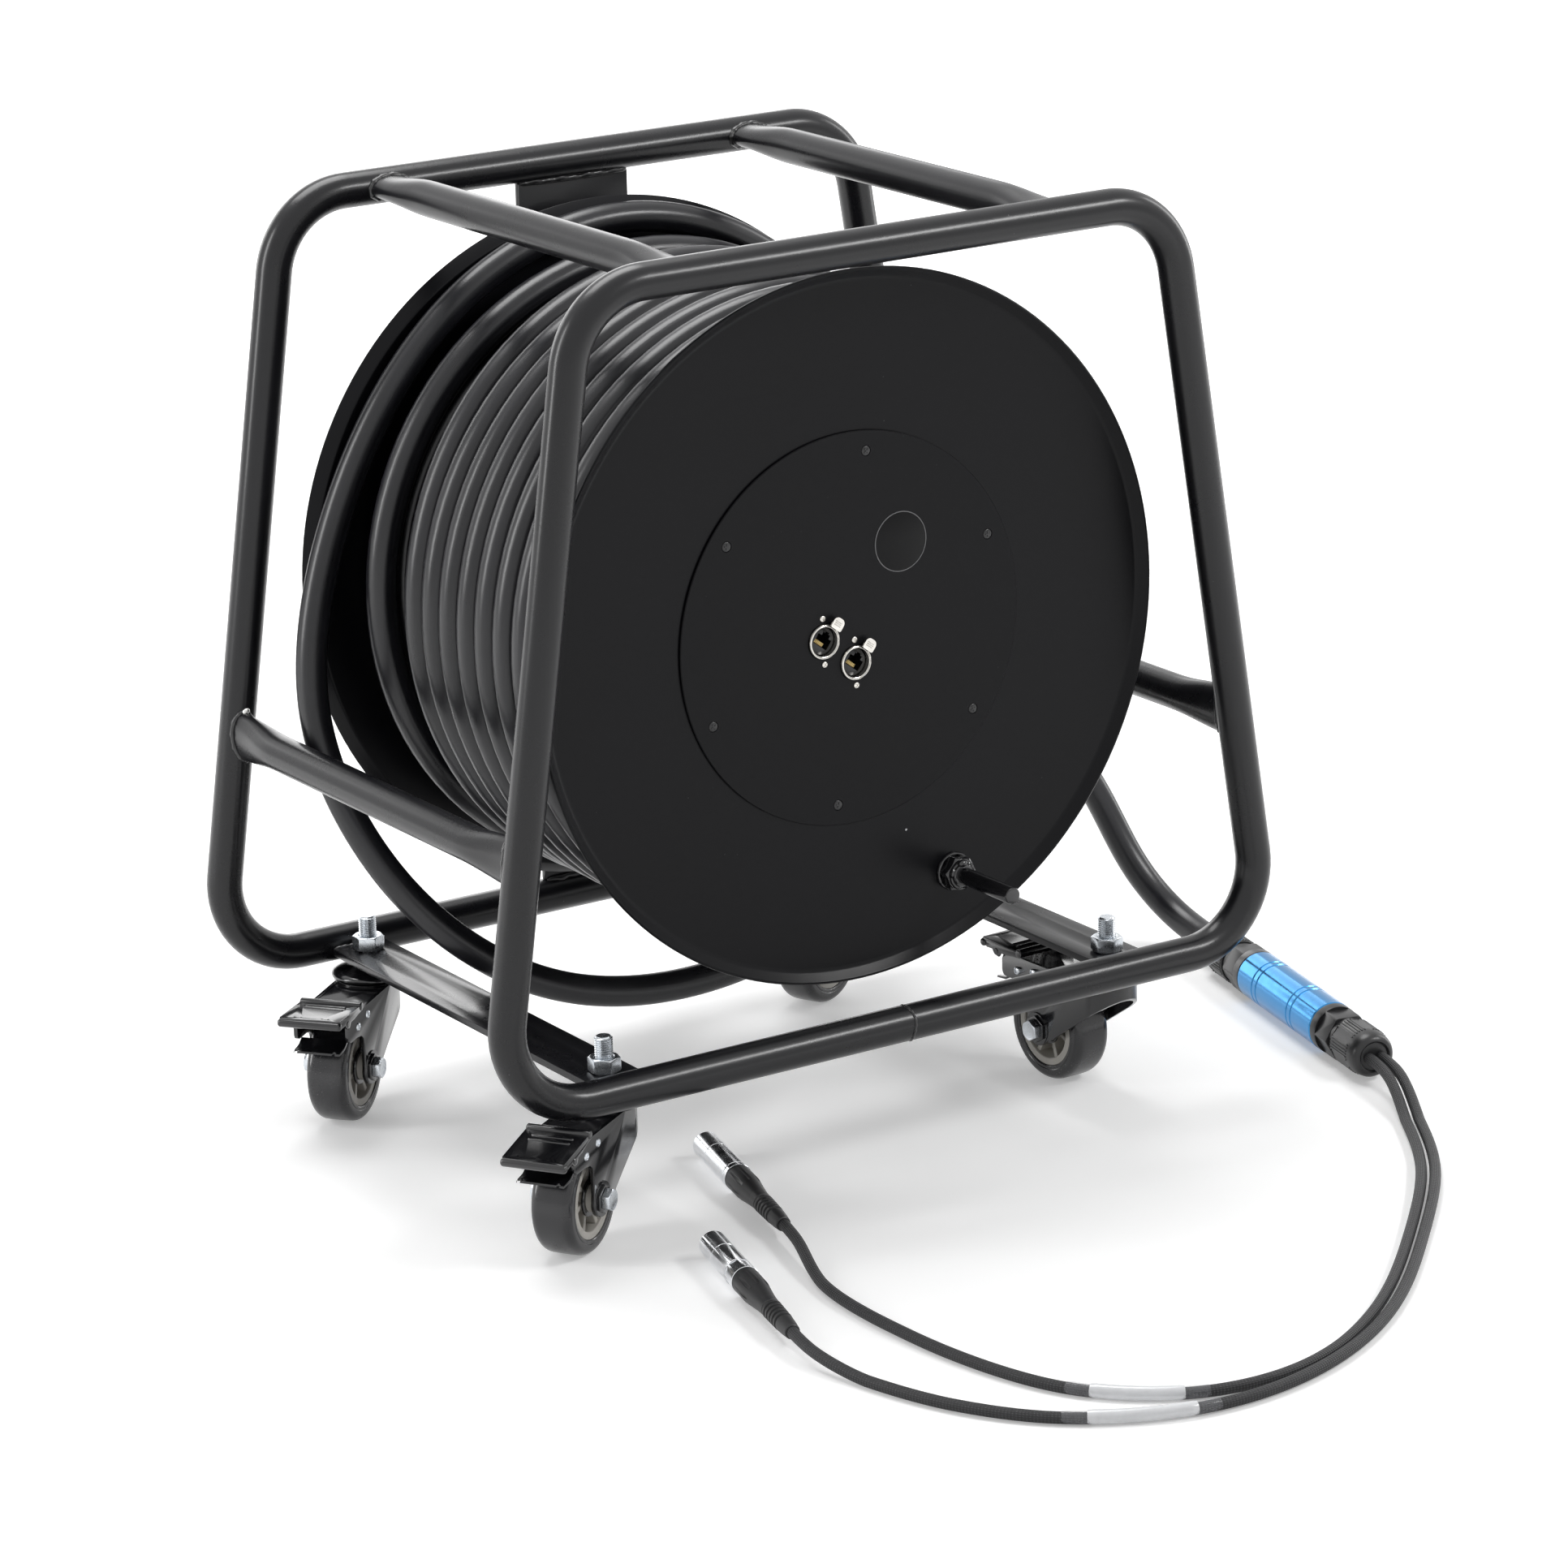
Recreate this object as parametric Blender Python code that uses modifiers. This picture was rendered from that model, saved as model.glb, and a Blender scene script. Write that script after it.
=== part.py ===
"""Cable reel trolley with a wound network snake, its splice, tails and plugs.

Metres, +Z up. The floor is z = 0 and the reel's shaft runs along Y, with the
connector panel facing -Y. The origin is under the middle of the trolley.
"""

import math

import bmesh
import bpy
import numpy as np
from mathutils import Matrix, Vector

# Clearances
GAP = 0.0003
SEAT_GAP = 0.0005
SLIDE_GAP = 0.0004

# Tube frame
TUBE_R = 0.012
HOOP_HALF_BOTTOM = 0.300
HOOP_HALF_TOP = 0.2224
HOOP_H = 0.516
HOOP_SPACING = 0.3741
BEND_R = 0.055
FRAME_MID_Y = 0.0144
TOP_TUBE_X_LEFT = -0.1455
TOP_TUBE_X_RIGHT = 0.1370
SIDE_TUBE_RISE = 0.1615
SIDE_END_HALF_W = 0.0075
SIDE_END_HALF_H = 0.0165
SIDE_END_LENGTH = 0.055
BAR_INSET = 0.102
BAR_W = 0.040
BAR_T = 0.005
PLATE_W = 0.086
PLATE_T = 0.005

# Casters
CASTER_H = 0.098
STEM_Y_FRONT = -0.147
STEM_Y_REAR = 0.161
STEM_R = 0.006
STEM_RISE = 0.024
NUT_AF = 0.019
NUT_H = 0.010
NECK_R = 0.012
DISH_R = 0.026
DISH_TOP = 0.0900
DISH_T = 0.0045
FORK_DISH_R = 0.0245
FORK_DISH_T = 0.0035
KING_HEAD_R = 0.009
KING_HEAD_T = 0.0025
WHEEL_R = 0.0375
TYRE_W = 0.028
TYRE_ROUND = 0.0042
HUB_R = 0.0272
HUB_W = 0.0264
HUB_BOSS_R = 0.009
TRAIL = 0.052
AXLE_R = 0.004
AXLE_AF = 0.013
AXLE_HEAD = 0.0051
CHEEK_IN = 0.0172
CHEEK_T = 0.0026
AXLE_BOSS_R = 0.012
AXLE_BOSS_T = 0.0024
WEB_T = 0.0024
PEDAL_W = 0.044
PEDAL_T = 0.0022
PEDAL_ROLL_R = 0.003
PEDAL_AXIS_S = 0.070
PEDAL_REACH = 0.042
PEDAL_LIP = 0.0045
PEDAL_DOWN = math.radians(10.0)
PEDAL_UP = math.radians(-2.0)
# name, side (-1 left, 1 right), row, trail direction, brake pressed
CASTERS = (
    ("front_left", -1, "front", math.radians(-146.0), True),
    ("rear_left", -1, "rear", math.radians(-140.6), False),
    ("front_right", 1, "front", math.radians(92.5), False),
    ("rear_right", 1, "rear", math.radians(-154.8), False),
)

# Drum, with distances along the shaft from the middle of the frame
SHAFT_RISE = 0.2574
FLANGE_R = 0.236
FLANGE_FLAT_R = 0.2295
FLANGE_T = 0.0025
FLANGE_FLARE = 0.0062
FRONT_FACE = -0.1405
REAR_FACE = 0.1515
BARREL_R = 0.128
BARREL_WALL = 0.002
BARREL_WEB = 0.003
HUB_SLEEVE_R = 0.020
HUB_SLEEVE_END = -0.050
SHAFT_R = 0.012
COLLAR_R = 0.020
SHAFT_NUT_AF = 0.036
SHAFT_NUT_T = 0.012
SHAFT_THREAD_OUT = 0.006
FLANGE_OPENING_R = 0.105

# Connector panel
PANEL_R = 0.130
PANEL_T = 0.0017
PANEL_TURN = math.radians(-36.8)
SOCKET_U = 0.015
SOCKET_V = -0.0168
SOCKET_R = 0.0115
SOCKET_BORE_R = 0.0097
SOCKET_PROUD = 0.0022
SOCKET_LENGTH = 0.026
SOCKET_DEPTH = 0.020
SOCKET_PLATE_U = 0.026
SOCKET_PLATE_V = 0.031
SOCKET_PLATE_T = 0.002
JACK_U = 0.0140
JACK_V = 0.0125
JACK_SET_BACK = 0.0045
PORT_U = 0.0118
PORT_V = 0.0085
PORT_DEPTH = 0.0125
TAB_V = 0.0142
TAB_U_SIZE = 0.009
TAB_V_SIZE = 0.008
TAB_T = 0.0016
TAB_PROUD = 0.0052
TAB_LEG_U = 0.005
TAB_LEG_V = 0.0024
TAB_LEG_END = 0.004

# Crank peg on the front flange
CRANK_ORBIT = 0.194
CRANK_ANGLE = math.radians(-66.8)
CRANK_R = 0.00575
CRANK_LENGTH = 0.0685
CRANK_NUT_AF = 0.021
CRANK_NUT_H = 0.010
CRANK_COLLAR_R = 0.0078
CRANK_COLLAR_H = 0.0035

# Cable
CABLE_D = 0.021
LOOP_POINTS = 24
WIND_R = 0.206
WIND_PITCH = 0.02275
WIND_TURNS = 9
WIND_FIRST_Y = -0.129
WIND_START_TURNS = -0.25
WIND_CROSS_FROM_TURNS = 0.63
WIND_CROSS_TO_TURNS = 0.75
LAST_TURN_STEP = 0.051
WIND_END_STEP = 0.004
WIND_END_TURNS = 0.5
RAMP_TURNS = 1.0 / 12.0
RAMP_RISE = 0.0225
RAMP_POWER = 1.6
LOOSE_STEP = 0.042
# angle round the shaft in degrees, radius, distance along the shaft
LOOSE_TURN = (
    (-15, 0.2455, 0.104),
    (-30, 0.2600, 0.094),
    (-45, 0.2720, 0.078),
    (-60, 0.2804, 0.060),
    (-75, 0.2828, 0.046),
    (-90, 0.2849, 0.039),
    (-105, 0.2897, 0.037),
    (-120, 0.2936, 0.039),
    (-135, 0.2915, 0.060),
    (-150, 0.2790, 0.095),
    (-163, 0.2605, 0.124),
    (-175, 0.2445, 0.132),
    (-190, 0.2270, 0.1385),
    (-208, 0.2185, 0.1390),
    (-240, 0.2200, 0.1390),
    (-270, 0.2240, 0.1390),
    (-300, 0.2225, 0.1385),
    (-330, 0.2220, 0.1380),
    (-360, 0.2285, 0.1365),
)
# x, y and height over the rails' axis of the run down to the floor
LOOSE_DROP = (
    (0.2420, 0.1350, 0.1680),
    (0.3130, 0.1400, 0.0940),
    (0.3830, 0.1326, 0.0220),
    (0.4135, 0.0860, -0.0650),
)

# Splice on the floor
SPLICE_START = (0.4145, 0.0125)
SPLICE_DIR = (-0.227, -0.974)
SPLICE_R = 0.0175
GLAND_LENGTH = 0.068
GLAND_NECK_R = 0.0125
GLAND_NUT_R = 0.0172
SPLICE_BODY_LENGTH = 0.120

# Tails and plugs on the floor
TAIL_D = 0.0075
TAIL_STEP = 0.0225
TAIL_SPREAD = 0.0044
TAIL_INNER = (
    (0.3190, -0.3160),
    (0.2788, -0.3805),
    (0.1918, -0.4770),
    (0.0775, -0.5752),
    (-0.0010, -0.6085),
    (-0.0600, -0.6050),
    (-0.0975, -0.5850),
    (-0.1260, -0.5530),
    (-0.1440, -0.5080),
    (-0.1540, -0.4550),
    (-0.1580, -0.3950),
    (-0.1520, -0.3240),
)
TAIL_OUTER = (
    (0.3262, -0.3216),
    (0.2854, -0.3869),
    (0.1974, -0.4840),
    (0.0819, -0.5830),
    (-0.0020, -0.6190),
    (-0.0650, -0.6240),
    (-0.1200, -0.6085),
    (-0.1650, -0.5760),
    (-0.1980, -0.5270),
    (-0.2170, -0.4700),
)
PLUG_R = 0.0095
PLUG_SHELL_LENGTH = 0.067
PLUG_BORE_R = 0.0082
PLUG_BORE_DEPTH = 0.013
PLUG_BUSH_LENGTH = 0.040
PLUG_BOOT_LENGTH = 0.050
PLUG_BOOT_R = 0.0062
PLUG_INNER_END = (-0.1245, -0.2390)
PLUG_INNER_DIR = (0.2417, 0.9704)
PLUG_OUTER_END = (-0.2182, -0.3925)
PLUG_OUTER_DIR = (0.2495, 0.9684)

# Round pieces' sides
TURN_STEPS = 40
SHAFT_STEPS = 24
SMALL_STEPS = 16
TYRE_STEPS = 24

# Derived places
RAIL_Z = CASTER_H + BAR_T
BAR_X = HOOP_HALF_BOTTOM - BAR_INSET
SHAFT_Z = RAIL_Z + SHAFT_RISE
FRONT_Y = FRAME_MID_Y - HOOP_SPACING / 2
REAR_Y = FRAME_MID_Y + HOOP_SPACING / 2
FRONT_FACE_Y = FRAME_MID_Y + FRONT_FACE
REAR_FACE_Y = FRAME_MID_Y + REAR_FACE
FRONT_OUT_Y = FRONT_FACE_Y - FLANGE_T
REAR_OUT_Y = REAR_FACE_Y + FLANGE_T
PANEL_BACK_Y = FRONT_OUT_Y - GAP
PANEL_Y = PANEL_BACK_Y - PANEL_T
PLATE_FRONT_Y = REAR_Y - PLATE_T / 2
CORE_R = WIND_R * math.cos(math.pi / LOOP_POINTS) - CABLE_D / 2 - GAP

PARTS = "network_snake_reel"
CUTTERS = "cutters"


def clear_scene():
    """Take away whatever the file opened with."""
    for obj in list(bpy.data.objects):
        bpy.data.objects.remove(obj, do_unlink=True)
    for name in (PARTS, CUTTERS):
        collection = bpy.data.collections.new(name)
        bpy.context.scene.collection.children.link(collection)


def material(name, colour, roughness, metallic):
    mat = bpy.data.materials.new(name)
    mat.use_nodes = True
    shader = mat.node_tree.nodes["Principled BSDF"]
    shader.inputs["Base Color"].default_value = (*colour, 1.0)
    shader.inputs["Roughness"].default_value = roughness
    shader.inputs["Metallic"].default_value = metallic
    return mat


def link(obj, cutter=False):
    bpy.data.collections[CUTTERS if cutter else PARTS].objects.link(obj)
    if cutter:
        obj.hide_render = True
        obj.display_type = "WIRE"
    return obj


def new_object(name, data, cutter=False):
    return link(bpy.data.objects.new(name, data), cutter)


def finish(obj, mat, smooth_angle=None):
    obj.data.materials.clear()
    obj.data.materials.append(mat)
    if smooth_angle is not None:
        obj.data.shade_smooth()
        obj.data.set_sharp_from_angle(angle=math.radians(smooth_angle))
    return obj


def baked(obj, name=None):
    """The object with its modifiers worked in, as a plain mesh object."""
    bpy.context.view_layer.update()
    graph = bpy.context.evaluated_depsgraph_get()
    mesh = bpy.data.meshes.new_from_object(obj.evaluated_get(graph))
    if obj.type == "CURVE":
        bm = bmesh.new()
        bm.from_mesh(mesh)
        bmesh.ops.remove_doubles(bm, verts=bm.verts, dist=0.000001)
        bm.to_mesh(mesh)
        bm.free()
    title = name or obj.name
    matrix = obj.matrix_world.copy()
    operands = [m.object for m in obj.modifiers if m.type == "BOOLEAN"]
    cutter = obj.name in bpy.data.collections[CUTTERS].objects
    bpy.data.objects.remove(obj, do_unlink=True)
    for operand in operands:
        bpy.data.objects.remove(operand, do_unlink=True)
    mesh.name = title
    result = new_object(title, mesh, cutter)
    result.matrix_world = matrix
    return result


def boolean(obj, operand, operation):
    mod = obj.modifiers.new(operation.lower(), "BOOLEAN")
    mod.operation = operation
    mod.solver = "EXACT"
    mod.object = operand
    return obj


def box(name, centre, size, cutter=False):
    mesh = bpy.data.meshes.new(name)
    bm = bmesh.new()
    bmesh.ops.create_cube(bm, size=1.0)
    bmesh.ops.scale(bm, vec=Vector(size), verts=bm.verts)
    bm.to_mesh(mesh)
    bm.free()
    obj = new_object(name, mesh, cutter)
    obj.location = centre
    return obj


def rod(name, centre, axis, radius, length, sides, cutter=False, turn=0.0):
    """A round or many-sided bar along an axis, centred on a point."""
    mesh = bpy.data.meshes.new(name)
    bm = bmesh.new()
    bmesh.ops.create_cone(
        bm, cap_ends=True, segments=sides, radius1=radius, radius2=radius, depth=length,
        matrix=Matrix.Rotation(turn, 4, "Z"),
    )
    bm.to_mesh(mesh)
    bm.free()
    obj = new_object(name, mesh, cutter)
    obj.rotation_euler = Vector(axis).to_track_quat("Z", "Y").to_euler()
    obj.location = centre
    return obj


def bore_radius(radius, sides):
    """The corner radius of a many-sided hole whose flats clear a shaft."""
    return radius / math.cos(math.pi / sides)


def hex_radius(across_flats):
    return across_flats / math.sqrt(3.0)


def turned(name, profile, steps, closed=True, cutter=False):
    """A turned piece about local Z; the profile runs down its outer side."""
    mesh = bpy.data.meshes.new(name)
    count = len(profile)
    edges = [(i, i + 1) for i in range(count - 1)]
    if closed:
        edges.append((count - 1, 0))
    mesh.from_pydata([(r, 0.0, h) for r, h in profile], edges, [])
    obj = new_object(name, mesh, cutter)
    mod = obj.modifiers.new("turn", "SCREW")
    mod.axis = "Z"
    mod.angle = 2 * math.pi
    mod.steps = steps
    mod.render_steps = steps
    mod.use_merge_vertices = True
    mod.merge_threshold = 0.00001
    return obj


def along_shaft(obj):
    """Lay a turned piece's axis on the drum's, local +Z pointing to the rear."""
    obj.rotation_euler = (-math.pi / 2, 0.0, 0.0)
    obj.location = (0.0, 0.0, SHAFT_Z)
    return obj


def tube(name, points, radius, resolution, cyclic=False, cutter=False):
    curve = bpy.data.curves.new(name, "CURVE")
    curve.dimensions = "3D"
    curve.bevel_depth = radius
    curve.bevel_resolution = resolution
    curve.use_fill_caps = not cyclic
    spline = curve.splines.new("POLY")
    spline.points.add(len(points) - 1)
    for point, place in zip(spline.points, points):
        point.co = (*place, 1.0)
    spline.use_cyclic_u = cyclic
    return new_object(name, curve, cutter)


def outline_plate(name, outline, thickness, cutter=False):
    """A flat outline in local XY, given a thickness about its plane."""
    curve = bpy.data.curves.new(name, "CURVE")
    curve.dimensions = "2D"
    curve.fill_mode = "BOTH"
    curve.extrude = thickness / 2
    spline = curve.splines.new("POLY")
    spline.points.add(len(outline) - 1)
    for point, place in zip(spline.points, outline):
        point.co = (place[0], place[1], 0.0, 1.0)
    spline.use_cyclic_u = True
    return new_object(name, curve, cutter)


def upright(obj, offset):
    """Stand an outline drawn in XY up in the caster's XZ plane."""
    obj.rotation_euler = (math.pi / 2, 0.0, 0.0)
    obj.location = (0.0, offset, 0.0)
    return obj


def rounded_path(corners, radius, steps):
    """A closed flat path with each corner replaced by an arc."""
    path = []
    count = len(corners)
    for i, corner in enumerate(corners):
        here = Vector(corner)
        back = (Vector(corners[i - 1]) - here).normalized()
        ahead = (Vector(corners[(i + 1) % count]) - here).normalized()
        half = back.angle(ahead) / 2
        centre = here + (back + ahead).normalized() * radius / math.sin(half)
        start = here + back * radius / math.tan(half) - centre
        sweep = math.pi - 2 * half
        side = 1.0 if back.x * ahead.y - back.y * ahead.x < 0 else -1.0
        for k in range(steps + 1):
            angle = side * sweep * k / steps
            turned_arm = Vector((
                start.x * math.cos(angle) - start.y * math.sin(angle),
                start.x * math.sin(angle) + start.y * math.cos(angle),
            ))
            path.append(centre + turned_arm)
    return path


def smooth_route(points, step):
    """Points at equal steps on a natural cubic curve through the given ones."""
    knots = np.array(points, dtype=float)
    lengths = np.linalg.norm(np.diff(knots, axis=0), axis=1)
    t = np.concatenate([[0.0], np.cumsum(lengths)])
    n = len(t)
    h = np.diff(t)
    matrix = np.zeros((n, n))
    right = np.zeros((n, knots.shape[1]))
    matrix[0, 0] = matrix[-1, -1] = 1.0
    for i in range(1, n - 1):
        matrix[i, i - 1] = h[i - 1]
        matrix[i, i] = 2 * (h[i - 1] + h[i])
        matrix[i, i + 1] = h[i]
        slopes = (knots[i + 1] - knots[i]) / h[i] - (knots[i] - knots[i - 1]) / h[i - 1]
        right[i] = 6 * slopes
    bend = np.linalg.solve(matrix, right)
    fine = []
    for s in np.linspace(0.0, t[-1], 60 * n):
        i = min(max(int(np.searchsorted(t, s)) - 1, 0), n - 2)
        a = (t[i + 1] - s) / h[i]
        b = (s - t[i]) / h[i]
        cubic = ((a ** 3 - a) * bend[i] + (b ** 3 - b) * bend[i + 1]) * h[i] ** 2 / 6
        fine.append(a * knots[i] + b * knots[i + 1] + cubic)
    fine = np.array(fine)
    run = np.concatenate([[0.0], np.cumsum(np.linalg.norm(np.diff(fine, axis=0), axis=1))])
    count = max(int(round(run[-1] / step)), 2)
    marks = np.linspace(0.0, run[-1], count + 1)
    return np.stack([np.interp(marks, run, fine[:, k]) for k in range(3)], axis=1)


def segment_gap(a0, a1, b0, b1):
    """The least distance between two straight runs."""
    u = a1 - a0
    v = b1 - b0
    w = a0 - b0
    uu, uv, vv = u @ u, u @ v, v @ v
    uw, vw = u @ w, v @ w
    bottom = uu * vv - uv * uv
    s = min(max((uv * vw - vv * uw) / bottom, 0.0), 1.0) if bottom > 1e-15 else 0.0
    t = min(max((uv * s + vw) / vv, 0.0), 1.0)
    s = min(max((uv * t - uw) / uu, 0.0), 1.0)
    return float(np.linalg.norm(w + u * s - v * t))


def least_gap(points, diameter, skip):
    """The least gap of a tube to its own turns, past its next few points."""
    points = np.array(points, dtype=float)
    best = 1.0
    for i in range(len(points) - 1):
        for j in range(i + skip, len(points) - 1):
            if np.linalg.norm(points[i] - points[j]) > 5 * diameter:
                continue
            gap = segment_gap(points[i], points[i + 1], points[j], points[j + 1]) - diameter
            best = min(best, gap)
    return best


def hoop(name, y, mat):
    corners = [
        (-HOOP_HALF_BOTTOM, RAIL_Z), (HOOP_HALF_BOTTOM, RAIL_Z),
        (HOOP_HALF_TOP, RAIL_Z + HOOP_H), (-HOOP_HALF_TOP, RAIL_Z + HOOP_H),
    ]
    path = [(p.x, y, p.y) for p in rounded_path(corners, BEND_R, 5)]
    return finish(tube(name, path, TUBE_R, 3, cyclic=True), mat)


def leg_x(rise):
    """Half the distance between a hoop's legs at a height over the rails."""
    return HOOP_HALF_BOTTOM + (HOOP_HALF_TOP - HOOP_HALF_BOTTOM) * rise / HOOP_H


def rail_cutter(name, centre, axis, length):
    return rod(name, centre, axis, bore_radius(TUBE_R + GAP, 24), length, 24, cutter=True)


def top_tube(name, x, mat):
    z = RAIL_Z + HOOP_H
    points = [(x, FRONT_Y, z), (x, REAR_Y, z)]
    bar = baked(tube(name, points, TUBE_R, 3))
    for y in (FRONT_Y, REAR_Y):
        boolean(bar, rail_cutter(name + "_mouth", (x, y, z), (1, 0, 0), 0.08), "DIFFERENCE")
    return finish(baked(bar), mat, 40)


def side_tube(name, side, mat):
    """A round tube pressed flat at both ends, where it is welded to the legs."""
    x = side * leg_x(SIDE_TUBE_RISE)
    z = RAIL_Z + SIDE_TUBE_RISE
    sections = []
    for end, sign in ((FRONT_Y, 1.0), (REAR_Y, -1.0)):
        rows = []
        for k in range(5):
            blend = math.cos(math.pi * k / 4) * 0.5 + 0.5
            half_w = TUBE_R + (SIDE_END_HALF_W - TUBE_R) * blend
            half_h = TUBE_R + (SIDE_END_HALF_H - TUBE_R) * blend
            rows.append((end + sign * (TUBE_R + SIDE_END_LENGTH * k / 4), half_w, half_h))
        rows.insert(0, (end, SIDE_END_HALF_W, SIDE_END_HALF_H))
        sections += rows if sign > 0 else rows[::-1]
    mesh = bpy.data.meshes.new(name)
    bm = bmesh.new()
    rings = []
    sides = 12
    for y, half_w, half_h in sections:
        ring = []
        for k in range(sides):
            angle = 2 * math.pi * k / sides
            ring.append(bm.verts.new((half_w * math.cos(angle), y, half_h * math.sin(angle))))
        rings.append(ring)
    for low, high in zip(rings, rings[1:]):
        for k in range(sides):
            j = (k + 1) % sides
            bm.faces.new((low[k], high[k], high[j], low[j]))
    bm.faces.new(rings[0])
    bm.faces.new(rings[-1][::-1])
    bmesh.ops.recalc_face_normals(bm, faces=bm.faces)
    bm.to_mesh(mesh)
    bm.free()
    bar = new_object(name, mesh)
    bar.location = (x, 0.0, z)
    lean = (side * (HOOP_HALF_TOP - HOOP_HALF_BOTTOM), 0.0, HOOP_H)
    for y in (FRONT_Y, REAR_Y):
        boolean(bar, rail_cutter(name + "_saddle", (x, y, z), lean, 0.12), "DIFFERENCE")
    return finish(baked(bar), mat, 40)


def caster_bar(name, side, mat):
    length = HOOP_SPACING - 2 * (TUBE_R + GAP)
    centre = (side * BAR_X, FRAME_MID_Y, RAIL_Z - BAR_T / 2)
    bar = box(name, centre, (BAR_W, length, BAR_T))
    for offset in (STEM_Y_FRONT, STEM_Y_REAR):
        place = (side * BAR_X, FRAME_MID_Y + offset, RAIL_Z - BAR_T / 2)
        radius = bore_radius(STEM_R + GAP, SMALL_STEPS)
        hole = rod(name + "_hole", place, (0, 0, 1), radius, 4 * BAR_T, SMALL_STEPS, cutter=True)
        boolean(bar, hole, "DIFFERENCE")
    return finish(baked(bar), mat)


def spindle_plate(mat):
    low = RAIL_Z + TUBE_R + GAP
    high = RAIL_Z + HOOP_H - TUBE_R - GAP
    centre = (0.0, REAR_Y, (low + high) / 2)
    return finish(box("spindle_plate", centre, (PLATE_W, PLATE_T, high - low)), mat)


def fork_top():
    """The height of the fork's web, under the two swivel dishes."""
    return DISH_TOP - DISH_T - GAP - FORK_DISH_T + 0.0006


def caster_stem_mesh():
    """Threaded stem, neck, upper dish and the king pin with its riveted head."""
    top = RAIL_Z + STEM_RISE
    web_under = fork_top() - WEB_T
    under_dish = DISH_TOP - DISH_T
    profile = [
        (0.0, top), (STEM_R, top), (STEM_R, CASTER_H - GAP), (NECK_R, CASTER_H - GAP),
        (NECK_R, DISH_TOP), (DISH_R - 0.002, DISH_TOP), (DISH_R, under_dish),
        (STEM_R, under_dish), (STEM_R, web_under - GAP), (KING_HEAD_R, web_under - GAP),
        (KING_HEAD_R, web_under - GAP - KING_HEAD_T), (0.0, web_under - GAP - KING_HEAD_T),
    ]
    return baked(turned("caster_stem", profile, SMALL_STEPS, closed=False))


def caster_nut_mesh():
    centre = (0.0, 0.0, RAIL_Z + GAP + NUT_H / 2)
    nut = rod("caster_nut", centre, (0, 0, 1), hex_radius(NUT_AF), NUT_H, 6)
    radius = bore_radius(STEM_R + GAP, SMALL_STEPS)
    hole = rod("nut_bore", centre, (0, 0, 1), radius, 3 * NUT_H, SMALL_STEPS, cutter=True)
    return baked(boolean(nut, hole, "DIFFERENCE"))


def cheek_outline():
    """Side view of a fork cheek: distance behind the stem and height."""
    top = fork_top() + 0.0010
    boss = 0.0115
    around = []
    for degrees in (220, 255, 290, 325, 355):
        angle = math.radians(degrees)
        around.append((TRAIL + boss * math.cos(angle), WHEEL_R + boss * math.sin(angle)))
    front = [
        (-0.022, top - 0.0035), (-0.0215, top - 0.0080), (-0.0140, 0.0685), (0.0, 0.0590),
        (0.0240, 0.0430), (0.0360, 0.0340),
    ]
    rear = [
        (TRAIL + 0.0105, 0.0570), (TRAIL + 0.0145, 0.0640), (TRAIL + 0.0230, 0.0668),
        (TRAIL + 0.0350, 0.0668), (TRAIL + 0.0380, 0.0700), (TRAIL + 0.0380, top - 0.0040),
        (0.0720, top), (-0.0160, top),
    ]
    return front + around + rear


def caster_fork_mesh():
    """Two cheeks, the web between them, the lower dish and the axle bosses."""
    web_top = fork_top()
    half = CHEEK_IN + CHEEK_T - 0.0008
    low, high = -0.0200, 0.0760
    fork = box(
        "caster_fork", ((low + high) / 2, 0.0, web_top - WEB_T / 2), (high - low, 2 * half, WEB_T)
    )
    for sign in (-1, 1):
        plate = outline_plate("cheek", cheek_outline(), CHEEK_T, cutter=True)
        boolean(fork, baked(upright(plate, sign * (CHEEK_IN + CHEEK_T / 2))), "UNION")
        start = CHEEK_IN + CHEEK_T / 2
        length = CHEEK_T / 2 + AXLE_BOSS_T
        centre = (TRAIL, sign * (start + length / 2), WHEEL_R)
        boss = rod("boss", centre, (0, 1, 0), AXLE_BOSS_R, length, 14, cutter=True)
        boolean(fork, boss, "UNION")
    base = web_top - WEB_T / 2
    crown = DISH_TOP - DISH_T - GAP
    dish = turned("dish", [
        (0.0, crown), (FORK_DISH_R, crown), (FORK_DISH_R - 0.0020, base), (0.0, base),
    ], SMALL_STEPS, closed=False, cutter=True)
    boolean(fork, baked(dish), "UNION")
    fork = baked(fork)
    axle = bore_radius(AXLE_R + GAP, SMALL_STEPS)
    place = (TRAIL, 0.0, WHEEL_R)
    hole = rod("axle_hole", place, (0, 1, 0), axle, 0.08, SMALL_STEPS, cutter=True)
    fork = baked(boolean(fork, hole, "DIFFERENCE"))
    king = bore_radius(STEM_R + GAP, SMALL_STEPS)
    hole = rod("king_hole", (0, 0, crown), (0, 0, 1), king, 0.03, SMALL_STEPS, cutter=True)
    return baked(boolean(fork, hole, "DIFFERENCE"))


def wheel_piece(name, profile, steps):
    obj = turned(name, profile, steps)
    obj.rotation_euler = (-math.pi / 2, 0.0, 0.0)
    return baked(obj)


def caster_hub_mesh():
    edge = HUB_W / 2
    boss = CHEEK_IN - GAP
    bore = bore_radius(AXLE_R + SLIDE_GAP, SMALL_STEPS)
    half = [
        (bore, boss), (HUB_BOSS_R, boss), (HUB_BOSS_R, edge - 0.004),
        (HUB_R - 0.0040, edge - 0.004), (HUB_R, edge),
    ]
    profile = half + [(r, -h) for r, h in reversed(half)]
    return wheel_piece("caster_hub", profile, SMALL_STEPS)


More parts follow.
